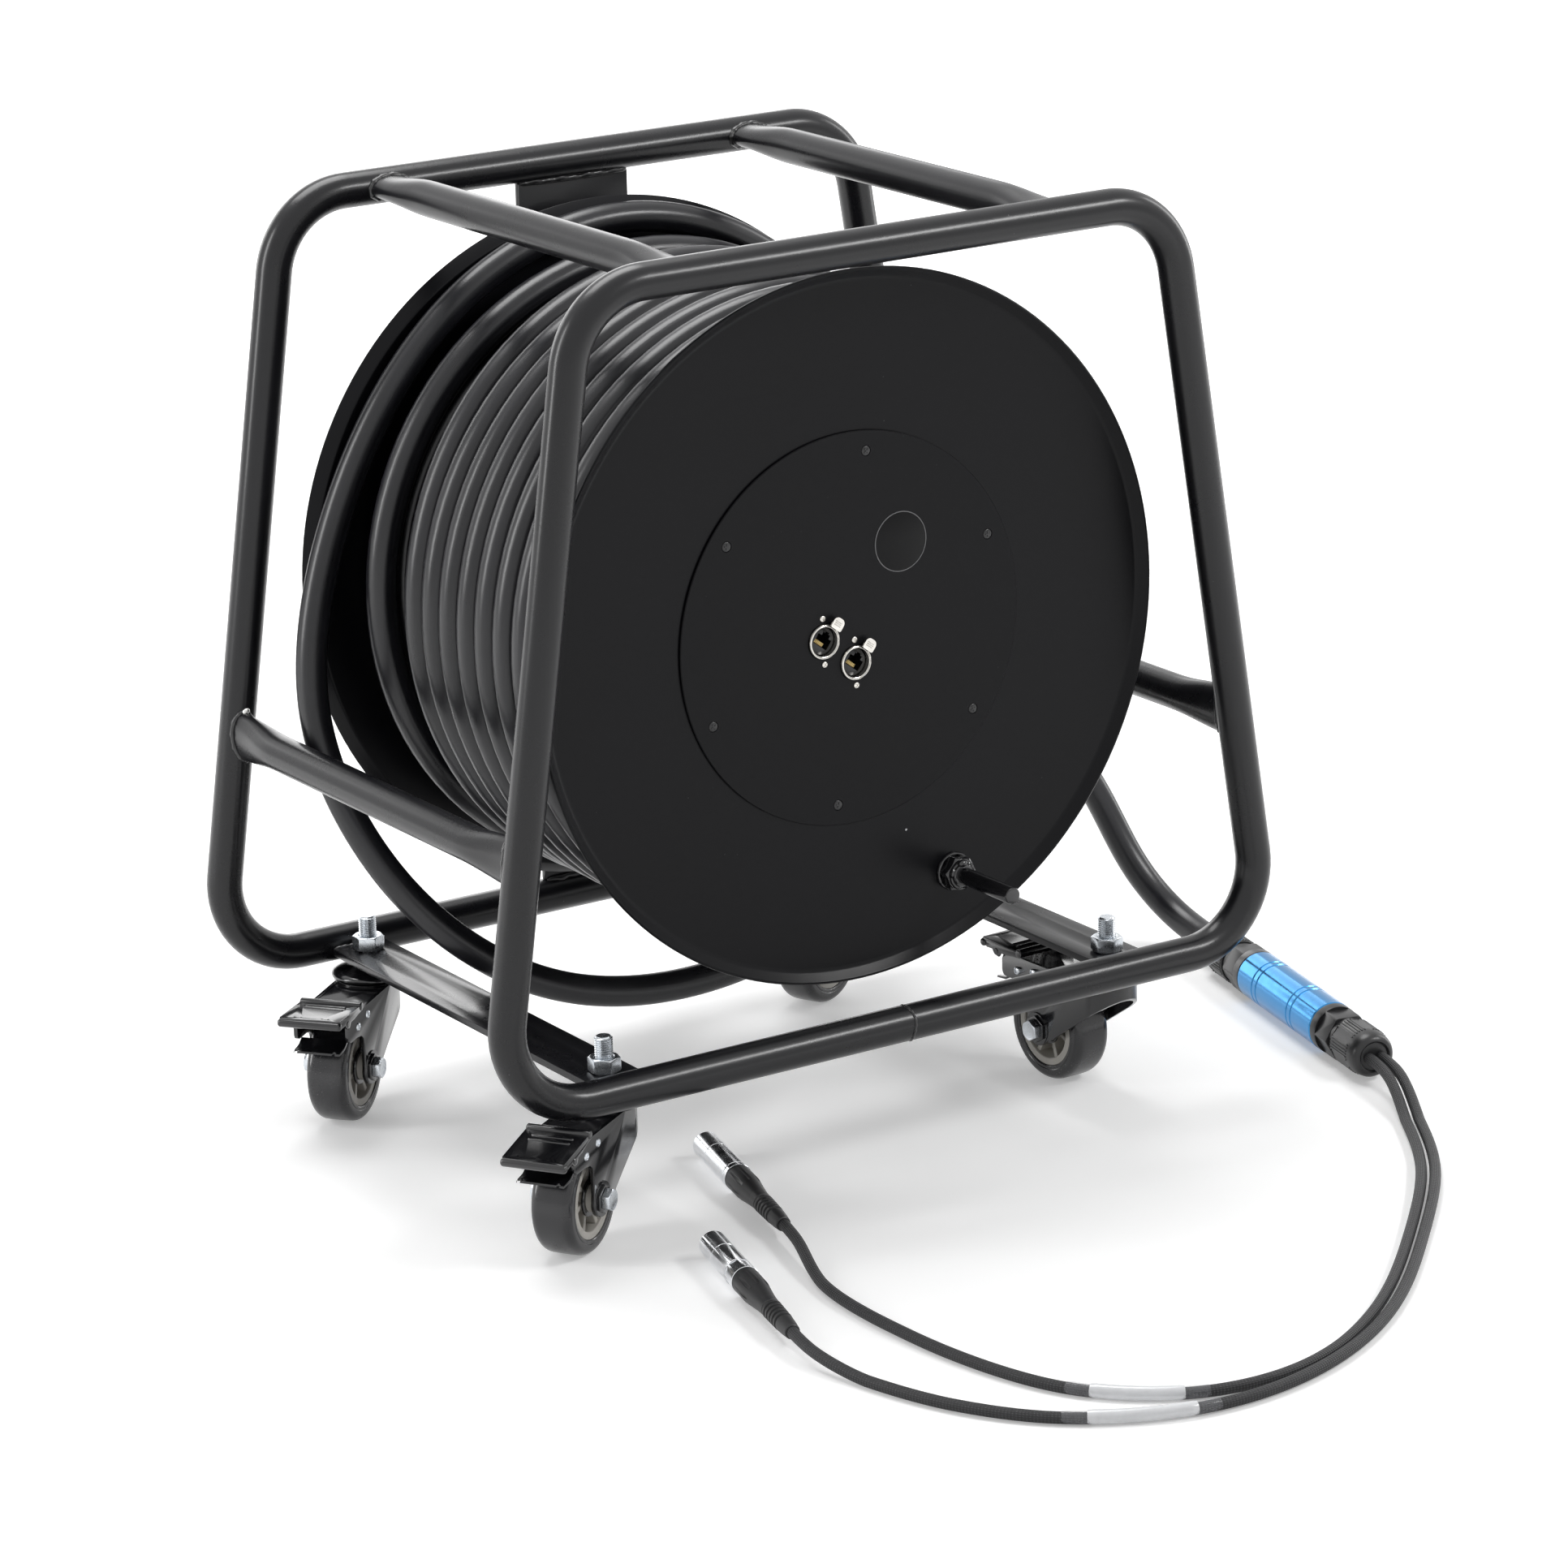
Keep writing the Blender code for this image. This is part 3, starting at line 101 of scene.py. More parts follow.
class Workpiece:
    """A mesh on the bench; each method is one step of modelling by hand."""

    def __init__(self, obj: bpy.types.Object) -> None:
        """Take up an object that is already in the scene."""
        self.obj = obj

    @classmethod
    def _added(cls, name: str) -> "Workpiece":
        """Name the primitive just added and put its place into its mesh."""
        obj = bpy.context.view_layer.objects.active
        obj.name = name
        obj.data.name = name
        bpy.ops.object.transform_apply(location=True, rotation=True, scale=True)
        return cls(obj)

    @classmethod
    def box(cls, name: str, centre: Point, size: Point) -> "Workpiece":
        """Add a cube at its size and place.

        Args:
            name: the piece's name.
            centre: its middle.
            size: its sides along X, Y and Z.

        Returns:
            The new workpiece.
        """
        clear_bench()
        bpy.ops.mesh.primitive_cube_add(size=1.0, location=centre, scale=size)
        return cls._added(name)

    @classmethod
    def ball(cls, name: str, centre: Point, size: Point, fineness: int = 3) -> "Workpiece":
        """Add an icosphere at its size and place.

        Args:
            name: the piece's name.
            centre: its middle.
            size: its half widths along X, Y and Z.
            fineness: how often its faces are divided.

        Returns:
            The new workpiece.
        """
        clear_bench()
        bpy.ops.mesh.primitive_ico_sphere_add(
            subdivisions=fineness, radius=1.0, location=centre, scale=size
        )
        return cls._added(name)

    @classmethod
    def rod(cls, name: str, start: Vector, end: Vector, radius: float, sides: int = 48) -> "Workpiece":
        """Add a cylinder between two points.

        Args:
            name: the piece's name.
            start: the middle of one end.
            end: the middle of the other end.
            radius: the corner radius.
            sides: how many flats it has.

        Returns:
            The new workpiece.
        """
        start, end = Vector(start), Vector(end)
        clear_bench()
        turn = (end - start).to_track_quat("Z", "Y").to_euler()
        bpy.ops.mesh.primitive_cylinder_add(
            vertices=sides, radius=radius, depth=(end - start).length,
            location=(start + end) / 2, rotation=turn,
        )
        return cls._added(name)

    @classmethod
    def hexagon(
        cls, name: str, low: float, high: float, across: float, dome: Profile, steps: int
    ) -> "Workpiece":
        """Add a hexagon about local Z and chamfer its corners.

        Args:
            name: the piece's name.
            low: the height of its lower face.
            high: the height of its upper face.
            across: its size across the flats.
            dome: the profile that the corners are turned down to.
            steps: how many faces the dome has round.

        Returns:
            The new workpiece.
        """
        piece = cls.rod(name, (0, 0, low), (0, 0, high), across / math.sqrt(3.0), 6)
        return piece.cut(cls.lathe("chamfer", dome, steps), "INTERSECT")

    @classmethod
    def line(cls, name: str, points: Sequence[Sequence[float]], closed: bool = False) -> "Workpiece":
        """Draw a line by extruding one vertex from point to point.

        Args:
            name: the piece's name.
            points: the corners in order.
            closed: whether the last corner joins the first.

        Returns:
            The new workpiece, in edit mode with all of it selected.
        """
        clear_bench()
        bpy.ops.mesh.primitive_plane_add(size=0.001)
        piece = cls._added(name)
        bpy.ops.object.mode_set(mode="EDIT")
        bpy.ops.mesh.merge(type="CENTER")
        places = [Vector(p) for p in points]
        bpy.ops.transform.translate(value=places[0])
        for here, there in zip(places, places[1:]):
            bpy.ops.mesh.extrude_vertices_move(TRANSFORM_OT_translate={"value": there - here})
        bpy.ops.mesh.select_all(action="SELECT")
        if closed:
            bpy.ops.mesh.edge_face_add()
        return piece

    @classmethod
    def lathe(cls, name: str, profile: Profile, steps: int = 64, sharp: float = 32.0) -> "Workpiece":
        """Turn a profile of radius and height about local Z.

        Args:
            name: the piece's name.
            profile: pairs of radius and height, from one end on the axis to the
                other, or a closed ring where it never meets the axis.
            steps: how many faces go round.
            sharp: the angle in degrees over which an edge stays sharp.

        Returns:
            The new workpiece.
        """
        points = [(r, 0.0, h) for r, h in profile]
        if min(r for r, _ in profile) > 1e-6:
            points.append(points[0])
        piece = cls.line(name, points)
        bpy.ops.mesh.spin(steps=steps, angle=2 * math.pi, center=(0, 0, 0), axis=(0, 0, 1))
        return piece.closed_up().smooth(sharp)

    @classmethod
    def plate(cls, name: str, outline: Sequence[Sequence[float]], depth: Point) -> "Workpiece":
        """Fill a drawn outline and extrude it.

        Args:
            name: the piece's name.
            outline: its corners in space, in order.
            depth: how far and which way the face is extruded.

        Returns:
            The new workpiece.
        """
        piece = cls.line(name, outline, closed=True)
        bpy.ops.mesh.extrude_region_move(TRANSFORM_OT_translate={"value": depth})
        return piece.closed_up()

    @classmethod
    def loft(cls, name: str, rings: Sequence[Tuple[Point, float, float]], sides: int = 32) -> "Workpiece":
        """Extrude an oval ring along Y and resize it at each station.

        Args:
            name: the piece's name.
            rings: the middle, half width along X and half height along Z of
                each station in order.
            sides: how many vertices the ring has.

        Returns:
            The new workpiece.
        """
        clear_bench()
        middle, width, height = rings[0]
        bpy.ops.mesh.primitive_circle_add(
            vertices=sides, radius=1.0, fill_type="NGON", location=middle, rotation=(math.pi / 2, 0.0, 0.0)
        )
        piece = cls._added(name)
        bpy.ops.object.mode_set(mode="EDIT")
        bpy.ops.mesh.select_all(action="SELECT")
        bpy.ops.transform.resize(value=(width, 1.0, height), center_override=middle)
        for place, wide, high in rings[1:]:
            move = Vector(place) - Vector(middle)
            bpy.ops.mesh.extrude_region_move(TRANSFORM_OT_translate={"value": move})
            bpy.ops.transform.resize(value=(wide / width, 1.0, high / height), center_override=place)
            middle, width, height = place, wide, high
        return piece.closed_up()

    def closed_up(self) -> "Workpiece":
        """Merge doubles, turn all faces outwards and leave edit mode."""
        if self.obj.mode != "EDIT":
            self.active()
            bpy.ops.object.mode_set(mode="EDIT")
        bpy.ops.mesh.select_all(action="SELECT")
        bpy.ops.mesh.remove_doubles(threshold=0.000005)
        bpy.ops.mesh.normals_make_consistent(inside=False)
        bpy.ops.object.mode_set(mode="OBJECT")
        return self

    def active(self) -> "Workpiece":
        """Make this the one selected object."""
        clear_bench()
        self.obj.select_set(True)
        bpy.context.view_layer.objects.active = self.obj
        return self

    def pick(self, test: Test, what: str = "FACE") -> int:
        """Select the faces or edges that a test names, and enter edit mode.

        Args:
            test: takes a middle and a normal or direction, and says yes or no.
            what: FACE or EDGE.

        Returns:
            How many were selected.
        """
        self.active()
        mesh = self.obj.data
        bpy.ops.object.mode_set(mode="EDIT")
        bpy.ops.mesh.select_mode(type=what)
        bpy.ops.mesh.select_all(action="DESELECT")
        bpy.ops.object.mode_set(mode="OBJECT")
        count = 0
        if what == "FACE":
            for face in mesh.polygons:
                face.select = test(face.center, face.normal)
                count += face.select
        else:
            for edge in mesh.edges:
                a, b = (mesh.vertices[i].co for i in edge.vertices)
                edge.select = test((a + b) / 2, (b - a).normalized())
                count += edge.select
        bpy.ops.object.mode_set(mode="EDIT")
        return count

    def worked(
        self, test: Test, step: Callable[..., object], what: str = "FACE", **settings: object
    ) -> "Workpiece":
        """Run one operator of edit mode on the faces or edges that a test names.

        Args:
            test: takes a middle and a normal or direction, and says yes or no.
            step: the operator.
            what: FACE or EDGE.
            settings: the operator's own settings.

        Returns:
            This workpiece.
        """
        if self.pick(test, what):
            step(**settings)
        bpy.ops.object.mode_set(mode="OBJECT")
        return self

    def drawn_in(self, test: Test, width: float, depth: float) -> "Workpiece":
        """Inset the named faces and sink them."""
        return self.worked(test, bpy.ops.mesh.inset, thickness=width, depth=-depth)

    def rounded_edges(self, test: Test, width: float, steps: int) -> "Workpiece":
        """Bevel the named edges."""
        return self.worked(test, bpy.ops.mesh.bevel, "EDGE", offset=width, segments=steps, affect="EDGES")

    def applied(self, kind: str, **settings: object) -> "Workpiece":
        """Add a modifier, set it up and apply it.

        Args:
            kind: the modifier's type.
            settings: its properties.

        Returns:
            This workpiece.
        """
        self.active()
        step = self.obj.modifiers.new(kind.lower(), kind)
        for key, value in settings.items():
            setattr(step, key, value)
        bpy.ops.object.modifier_apply(modifier=step.name)
        return self

    def eased(self, width: float, steps: int = 2, angle: float = 30.0) -> "Workpiece":
        """Round every sharp edge a little."""
        return self.applied(
            "BEVEL", width=width, segments=steps, limit_method="ANGLE",
            angle_limit=math.radians(angle), use_clamp_overlap=True,
        )

    def cut(self, other: "Workpiece", how: str = "DIFFERENCE") -> "Workpiece":
        """Take another workpiece away from this one, or join it on, and drop it."""
        self.applied("BOOLEAN", operation=how, solver="EXACT", object=other.obj)
        other.drop()
        return self

    def drop(self) -> None:
        """Remove this workpiece from the scene."""
        bpy.data.objects.remove(self.obj, do_unlink=True)

    def smooth(self, angle: float = 32.0) -> "Workpiece":
        """Shade smooth, with edges over an angle in degrees kept sharp."""
        self.active()
        bpy.ops.object.shade_smooth_by_angle(angle=math.radians(angle))
        return self

    def moved(self, matrix: Matrix) -> "Workpiece":
        """Turn and move the mesh, leaving the object at the origin."""
        self.obj.matrix_world = matrix
        self.active()
        bpy.ops.object.transform_apply(location=True, rotation=True, scale=True)
        return self

    def again(self, name: str, matrix: Matrix) -> "Workpiece":
        """A copy with its own mesh, moved to its place."""
        twin = self.obj.copy()
        twin.data = self.obj.data.copy()
        twin.name = twin.data.name = name
        bpy.context.scene.collection.objects.link(twin)
        return Workpiece(twin).moved(matrix)

    def joined(self, others: Sequence["Workpiece"]) -> "Workpiece":
        """Join other workpieces into this mesh as they stand."""
        self.active()
        for other in others:
            other.obj.select_set(True)
        bpy.ops.object.join()
        return self

    def dressed(self, finish: "Finish", slot: str, body: str, *nodes: str) -> "Workpiece":
        """Give the piece its material and body, and its node's place.

        Args:
            finish: what its surface is finished in.
            slot: not used.
            body: the body that it rides on.
            nodes: the nodes that it stands for.

        Returns:
            This workpiece.
        """
        self.obj.data.materials.clear()
        self.obj.data.materials.append(finish.mixed())
        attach(self.obj, body)
        if nodes:
            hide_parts(*nodes)
        return self


class Sock:
    """A node's output that takes part in sums."""

    def __init__(self, paint: "Mixer", socket: bpy.types.NodeSocket) -> None:
        """Hold the socket and the mixer it belongs to."""
        self.paint = paint
        self.socket = socket

    def _sum(self, how: str, a: object, b: object) -> "Sock":
        """A Math node over two values."""
        node = self.paint.node("ShaderNodeMath", {"operation": how}, {0: a, 1: b})
        return Sock(self.paint, node.outputs[0])

    def __add__(self, other: object) -> "Sock":
        """This plus the other."""
        return self._sum("ADD", self, other)

    def __radd__(self, other: object) -> "Sock":
        """The other plus this."""
        return self._sum("ADD", other, self)

    def __sub__(self, other: object) -> "Sock":
        """This less the other."""
        return self._sum("SUBTRACT", self, other)

    def __rsub__(self, other: object) -> "Sock":
        """The other less this."""
        return self._sum("SUBTRACT", other, self)

    def __mul__(self, other: object) -> "Sock":
        """This times the other."""
        return self._sum("MULTIPLY", self, other)

    def __rmul__(self, other: object) -> "Sock":
        """The other times this."""
        return self._sum("MULTIPLY", other, self)

    def above(self, low: float, high: float) -> "Sock":
        """How far this has come from a low mark to a high one, from 0 to 1."""
        node = self.paint.node(
            "ShaderNodeMapRange", {"clamp": True}, {"Value": self, "From Min": low, "From Max": high}
        )
        return Sock(self.paint, node.outputs["Result"])

    def sine(self) -> "Sock":
        """The sine of this."""
        return self._sum("SINE", self, 0.0)


class Mixer:
    """A node tree at work; every node comes from its one method."""

    def __init__(self, tree: bpy.types.NodeTree) -> None:
        """Take up a tree."""
        self.tree = tree

    def node(
        self, kind: str, settings: Mapping[str, object], links: Mapping[Union[str, int], object]
    ) -> bpy.types.Node:
        """Make a node.

        Args:
            kind: its type.
            settings: its properties, set first.
            links: a value or an output for each input.

        Returns:
            The node.
        """
        node = self.tree.nodes.new(kind)
        for key, value in settings.items():
            setattr(node, key, value)
        for key, value in links.items():
            if isinstance(value, Sock):
                self.tree.links.new(value.socket, node.inputs[key])
            else:
                node.inputs[key].default_value = value
        return node

    def seen(self) -> Sock:
        """1 for rays from the camera, a glossy surface or through one, else 0."""
        ray = self.node("ShaderNodeLightPath", {}, {})
        near = Sock(self, ray.outputs["Is Camera Ray"]) + Sock(self, ray.outputs["Is Glossy Ray"])
        return (near + Sock(self, ray.outputs["Is Transmission Ray"])).above(0.0, 1.0)


class Paint(Mixer):
    """A material being mixed: its nodes and its shader."""

    def __init__(
        self, name: str, rough: float, metal: float = 0.0, coat: float = 0.0, shine: float = 0.5
    ) -> None:
        """Start a material.

        Args:
            name: its name.
            rough: the roughness where nothing changes it.
            metal: how much of it is metal.
            coat: the weight of a clear coat.
            shine: the specular level, 0.5 on plain paint.
        """
        self.material = bpy.data.materials.new(name)
        self.material.use_nodes = True
        super().__init__(self.material.node_tree)
        self.shader = self.tree.nodes["Principled BSDF"]
        for socket, value in (
            ("Roughness", rough), ("Metallic", metal), ("Coat Weight", coat),
            ("Coat Roughness", 0.12), ("Specular IOR Level", shine),
        ):
            self.shader.inputs[socket].default_value = value

    def place(self, scale: Point = (1, 1, 1)) -> Sock:
        """Object coordinates, stretched by a Mapping node."""
        coord = self.node("ShaderNodeTexCoord", {}, {})
        node = self.node("ShaderNodeMapping", {}, {0: Sock(self, coord.outputs["Object"]), "Scale": scale})
        return Sock(self, node.outputs[0])

    def along(self) -> Tuple[Sock, Sock]:
        """The piece's own UV: once round, and metres along."""
        coord = self.node("ShaderNodeTexCoord", {}, {})
        node = self.node("ShaderNodeSeparateXYZ", {}, {0: Sock(self, coord.outputs["UV"])})
        return Sock(self, node.outputs[0]), Sock(self, node.outputs[1])

    def grain(self, scale: float, detail: float = 3.0, at: Optional[Sock] = None) -> Sock:
        """Cloudy noise of about one over scale metres."""
        cloud = {"Vector": at or self.place(), "Scale": scale, "Detail": detail, "Roughness": 0.6}
        return Sock(self, self.node("ShaderNodeTexNoise", {}, cloud).outputs[0])

    def specks(self, scale: float, size: float) -> Sock:
        """Scattered dots, 1 inside and 0 outside."""
        dots = {"Vector": self.place(), "Scale": scale, "Randomness": 1.0}
        node = self.node("ShaderNodeTexVoronoi", {}, dots)
        return 1.0 - Sock(self, node.outputs["Distance"]).above(size * 0.6, size)

    def mixed(self, share: Union[Sock, float], a: object, b: object) -> Sock:
        """A colour between two, by a share."""
        colours = {
            key: (*value, 1.0) if isinstance(value, tuple) else value
            for key, value in ((6, a), (7, b))
        }
        node = self.node("ShaderNodeMix", {"data_type": "RGBA"}, {0: share, **colours})
        return Sock(self, node.outputs[2])

    def done(
        self, colour: object, rough: Optional[Sock] = None, height: Optional[Sock] = None,
        depth: float = 0.0001, alpha: Optional[Sock] = None,
    ) -> bpy.types.Material:
        """Wire up the shader.

        Args:
            colour: the base colour or an output for it.
            rough: an output for the roughness.
            height: an output for the relief.
            depth: the relief's depth in metres.
            alpha: an output for how solid the surface is.

        Returns:
            The material.
        """
        if not isinstance(colour, Sock):
            self.shader.inputs["Base Color"].default_value = (*colour, 1.0)
        for name, value in (("Base Color", colour), ("Roughness", rough), ("Alpha", alpha)):
            if isinstance(value, Sock):
                self.tree.links.new(value.socket, self.shader.inputs[name])
        if height is not None:
            bump = self.node("ShaderNodeBump", {}, {"Strength": 1.0, "Distance": depth, "Height": height})
            self.tree.links.new(bump.outputs[0], self.shader.inputs["Normal"])
        return self.material


@dataclass(frozen=True)
class Enamel:
    """Sprayed black enamel: soft gloss, faint orange peel, dust under the coat."""

    name: str
    colour: Colour
    rough: float
    coat: float = 0.0
    peel: float = 260.0
    peel_depth: float = 0.00004
    dust: float = 0.25
    shine: float = 0.5

    def material(self) -> bpy.types.Material:
        """Mix the finish."""
        paint = Paint(self.name, self.rough, coat=self.coat, shine=self.shine)
        cloud = paint.grain(9.0, 4.0)
        peel = paint.grain(self.peel, 2.0)
        dots = paint.specks(95.0, 0.055) * paint.grain(14.0).above(0.52, 0.66) * self.dust
        shade = paint.mixed(cloud.above(0.35, 0.75), self.colour, tuple(c * 1.35 for c in self.colour))
        colour = paint.mixed(dots, shade, (0.3, 0.3, 0.31))
        fine = paint.grain(70.0, 3.0)
        rough = self.rough - 0.05 + 0.07 * cloud + 0.05 * fine + 0.3 * dots
        return paint.done(colour, rough, peel + 3.0 * dots, self.peel_depth)


@dataclass(frozen=True)
class BareMetal:
    """Plated or bare metal, clouded and brushed along one way."""

    name: str
    colour: Colour
    rough: float
    tint: Colour
    brush: Point = (400.0, 400.0, 400.0)
    brush_depth: float = 0.00001
    clouding: float = 0.25

    def material(self) -> bpy.types.Material:
        """Mix the finish."""
        paint = Paint(self.name, self.rough, metal=1.0)
        cloud = paint.grain(120.0, 4.0)
        lines = paint.grain(1.0, 2.0, paint.place(scale=self.brush))
        colour = paint.mixed(cloud.above(0.35, 0.7) * self.clouding * 2.0, self.colour, self.tint)
        rough = self.rough + 0.16 * (cloud - 0.5) + 0.1 * (lines - 0.5)
        return paint.done(colour, rough, lines, self.brush_depth)


@dataclass(frozen=True)
class Moulded:
    """Moulded plastic or rubber with a fine grain and some dirt."""

    name: str
    colour: Colour
    rough: float
    grain: float = 900.0
    grain_depth: float = 0.00002
    dirt: Colour = (0.1, 0.1, 0.1)
    dirt_share: float = 0.15

    def material(self) -> bpy.types.Material:
        """Mix the finish."""
        paint = Paint(self.name, self.rough)
        cloud = paint.grain(45.0, 5.0)
        grit = paint.grain(self.grain, 2.0)
        smear = cloud.above(0.5, 0.8) * self.dirt_share
        rough = self.rough + 0.12 * (cloud - 0.5)
        return paint.done(paint.mixed(smear, self.colour, self.dirt), rough, grit, self.grain_depth)


@dataclass(frozen=True)
class Scuffed:
    """Glossy rubber tread with scuffs, dust and pale specks."""

    name: str
    colour: Colour = (0.0095, 0.0095, 0.012)
    pale: Colour = (0.34, 0.33, 0.33)
    rough: float = 0.24

    def material(self) -> bpy.types.Material:
        """Mix the finish."""
        paint = Paint(self.name, self.rough, coat=0.25)
        cloud = paint.grain(60.0, 5.0)
        patch = paint.grain(28.0, 2.0).above(0.5, 0.68)
        dots = paint.specks(420.0, 0.16) * patch
        flecks = paint.specks(1100.0, 0.22) * patch * 0.45
        film = cloud.above(0.45, 0.8) * 0.05
        colour = paint.mixed(dots * 0.75 + flecks + film, self.colour, self.pale)
        rough = self.rough + 0.18 * (cloud - 0.4) + 0.35 * dots
        return paint.done(colour, rough, cloud + dots, 0.00006)


@dataclass(frozen=True)
class Jacket:
    """The snake's rubber jacket: satin, drawn lengthwise, chafed and dusty."""

    name: str
    colour: Colour = (0.0065, 0.0065, 0.0085)
    pale: Colour = (0.022, 0.022, 0.027)
    rough: float = 0.3

    def material(self) -> bpy.types.Material:
        """Mix the finish."""
        paint = Paint(self.name, self.rough)
        around, run = paint.along()
        joint = paint.node("ShaderNodeCombineXYZ", {}, {0: around * 60.0, 1: run * 5.0, 2: 0.0})
        drawn = paint.grain(1.0, 2.0, Sock(paint, joint.outputs[0]))
        joint = paint.node("ShaderNodeCombineXYZ", {}, {0: around * 6.0, 1: run * 9.0, 2: 0.0})
        chafe = paint.grain(1.0, 5.0, Sock(paint, joint.outputs[0]))
        dust = paint.grain(55.0, 4.0)
        film = chafe.above(0.46, 0.74) * 0.55 + dust.above(0.55, 0.8) * 0.25
        rough = self.rough + 0.1 * (chafe - 0.5) + 0.06 * (drawn - 0.5) + 0.1 * (dust - 0.5)
        relief = drawn + 0.8 * paint.grain(700.0, 2.0)
        return paint.done(paint.mixed(film, self.colour, self.pale), rough, relief, 0.00005)


@dataclass(frozen=True)
class Braid:
    """Braided sleeving: two ways of flat strands crossing over and under, coloured with painted highlights on
    the strands' crowns and painted shade in the gaps.
    """

    name: str
    strands: float = 9.0
    lay: float = 0.0042
    # thread: the paler crown colour, a painted highlight for the strands' glints.
    thread: Colour = (0.03, 0.03, 0.034)
    # gap: the darker colour between strands, painted shade in the weave's hollows.
    gap: Colour = (0.0025, 0.0025, 0.003)

    def material(self) -> bpy.types.Material:
        """Mix the finish."""
        paint = Paint(self.name, 0.5)
        around, run = paint.along()
        full = 2.0 * math.pi
        one = (around * (full * self.strands) + run * (full / self.lay)).sine()
        two = (around * (full * self.strands) - run * (full / self.lay)).sine()
        weave = one * two
        crown = weave.above(-0.2, 0.9)
        fine = paint.grain(2600.0, 2.0)
        # Painted light: colour runs from painted shade in the gaps to painted highlight on the crowns, by the
        # weave's height.
        colour = paint.mixed(crown * 0.75 + 0.25 * fine, self.gap, self.thread)
        return paint.done(colour, 0.62 - 0.22 * crown, crown + 0.2 * fine, 0.00035)


@dataclass(frozen=True)
class ClearShrink:
    """Clear heat-shrink sleeve, milky and glossy."""

    name: str
    colour: Colour
    solid: float
    rough: float = 0.18

    def material(self) -> bpy.types.Material:
        """Mix the finish."""
        paint = Paint(self.name, self.rough, coat=0.5)
        around, run = paint.along()
        cloud = paint.grain(160.0, 3.0)
        creases = (run * 900.0 + cloud * 9.0).sine() * 0.25
        milk = tuple(c * 0.82 for c in self.colour)
        colour = paint.mixed(cloud.above(0.3, 0.8) * 0.5, self.colour, milk)
        alpha = self.solid + 0.12 * (cloud - 0.5)
        rough = self.rough + 0.12 * (around + 0.2 * cloud - 0.5)
        return paint.done(colour, rough, cloud + creases, 0.0001, alpha if self.solid < 1.0 else None)


class Finish(Enum):
    """Every finish on the trolley."""

    TUBE = Enamel("tube_enamel", (0.0052, 0.0052, 0.0066), 0.27, coat=0.1, dust=0.3, shine=0.38)
    COAT = Enamel(
        "drum_coat", (0.0022, 0.0022, 0.0032), 0.3, peel=520.0, peel_depth=0.00002, dust=0.1, shine=0.16
    )
    PANEL = Enamel(
        "panel_coat", (0.0026, 0.0026, 0.0034), 0.42, peel=900.0, peel_depth=0.00002, dust=0.06, shine=0.16
    )
    CASTER = Enamel("caster_enamel", (0.0075, 0.0075, 0.009), 0.16, coat=0.5, peel=160.0, dust=0.2)
    WELD = Enamel(
        "weld_enamel", (0.012, 0.012, 0.013), 0.3, coat=0.3, peel=420.0, peel_depth=0.0002, dust=0.9
    )
    SPATTER = BareMetal("bright_spatter", (0.82, 0.82, 0.8), 0.28, (0.45, 0.44, 0.42), clouding=0.4)
    STEEL = BareMetal("turned_steel", (0.5, 0.5, 0.51), 0.32, (0.36, 0.35, 0.34))
    ZINC = BareMetal("bright_zinc", (0.66, 0.69, 0.72), 0.27, (0.5, 0.54, 0.6), clouding=0.2)
    NICKEL = BareMetal("nickel_plate", (0.72, 0.7, 0.66), 0.2, (0.52, 0.5, 0.46))
    CHROME = BareMetal("satin_chrome", (0.8, 0.81, 0.83), 0.17, (0.66, 0.68, 0.71), (60.0, 60.0, 60.0))
    GOLD = BareMetal("contact_gold", (0.83, 0.62, 0.26), 0.25, (0.7, 0.5, 0.2))
    BLUE = BareMetal("blue_anodised", (0.06, 0.26, 0.54), 0.17, (0.04, 0.2, 0.46), clouding=0.1)
    NYLON = Moulded("gland_nylon", (0.0135, 0.0135, 0.0145), 0.34, dirt=(0.05, 0.05, 0.055))
    BOOT = Moulded("boot_rubber", (0.0125, 0.0125, 0.0135), 0.42, dirt=(0.05, 0.05, 0.05))
    INSERT = Moulded("socket_insert", (0.008, 0.008, 0.009), 0.25, dirt_share=0.0)
    HUB = Moulded("hub_plastic", (0.5, 0.48, 0.44), 0.42, dirt=(0.28, 0.26, 0.23), dirt_share=0.5)
    SCREW = Enamel("black_oxide", (0.01, 0.01, 0.011), 0.3, peel=1500.0, dust=0.0)
    DISC = Enamel("disc_gloss", (0.0025, 0.0025, 0.003), 0.24, peel=120.0, dust=0.03, shine=0.16)
    DISC_EDGE = Moulded("disc_edge", (0.16, 0.16, 0.165), 0.35, dirt_share=0.1)
    TYRE = Scuffed("tyre_rubber")
    JACKET = Jacket("snake_jacket")
    BRAID = Braid("tail_braid")
    CLEAR = ClearShrink("clear_shrink", (0.5, 0.51, 0.54), 0.2)
    WHITE = ClearShrink("white_sleeve", (0.82, 0.83, 0.85), 1.0)

    @lru_cache(maxsize=None)
    def mixed(self) -> bpy.types.Material:
        """The finish as a material, mixed when it is first asked for."""
        return self.value.material()


@dataclass(frozen=True)
class Lamp:
    """One soft lamp: where it hangs, what it points at, its size and power."""

    name: str
    place: Point
    aim: Point
    size: Tuple[float, float]
    power: float

    def hang(self) -> None:
        """Put the lamp in the scene."""
        data = bpy.data.lights.new(self.name, "AREA")
        data.shape = "RECTANGLE"
        data.size, data.size_y = self.size
        data.energy = self.power
        lamp = bpy.data.objects.new(self.name, data)
        bpy.context.scene.collection.objects.link(lamp)
        lamp.location = self.place
        way = Vector(self.aim) - Vector(self.place)
        lamp.rotation_euler = way.to_track_quat("-Z", "Y").to_euler()
        lamp.visible_camera = False


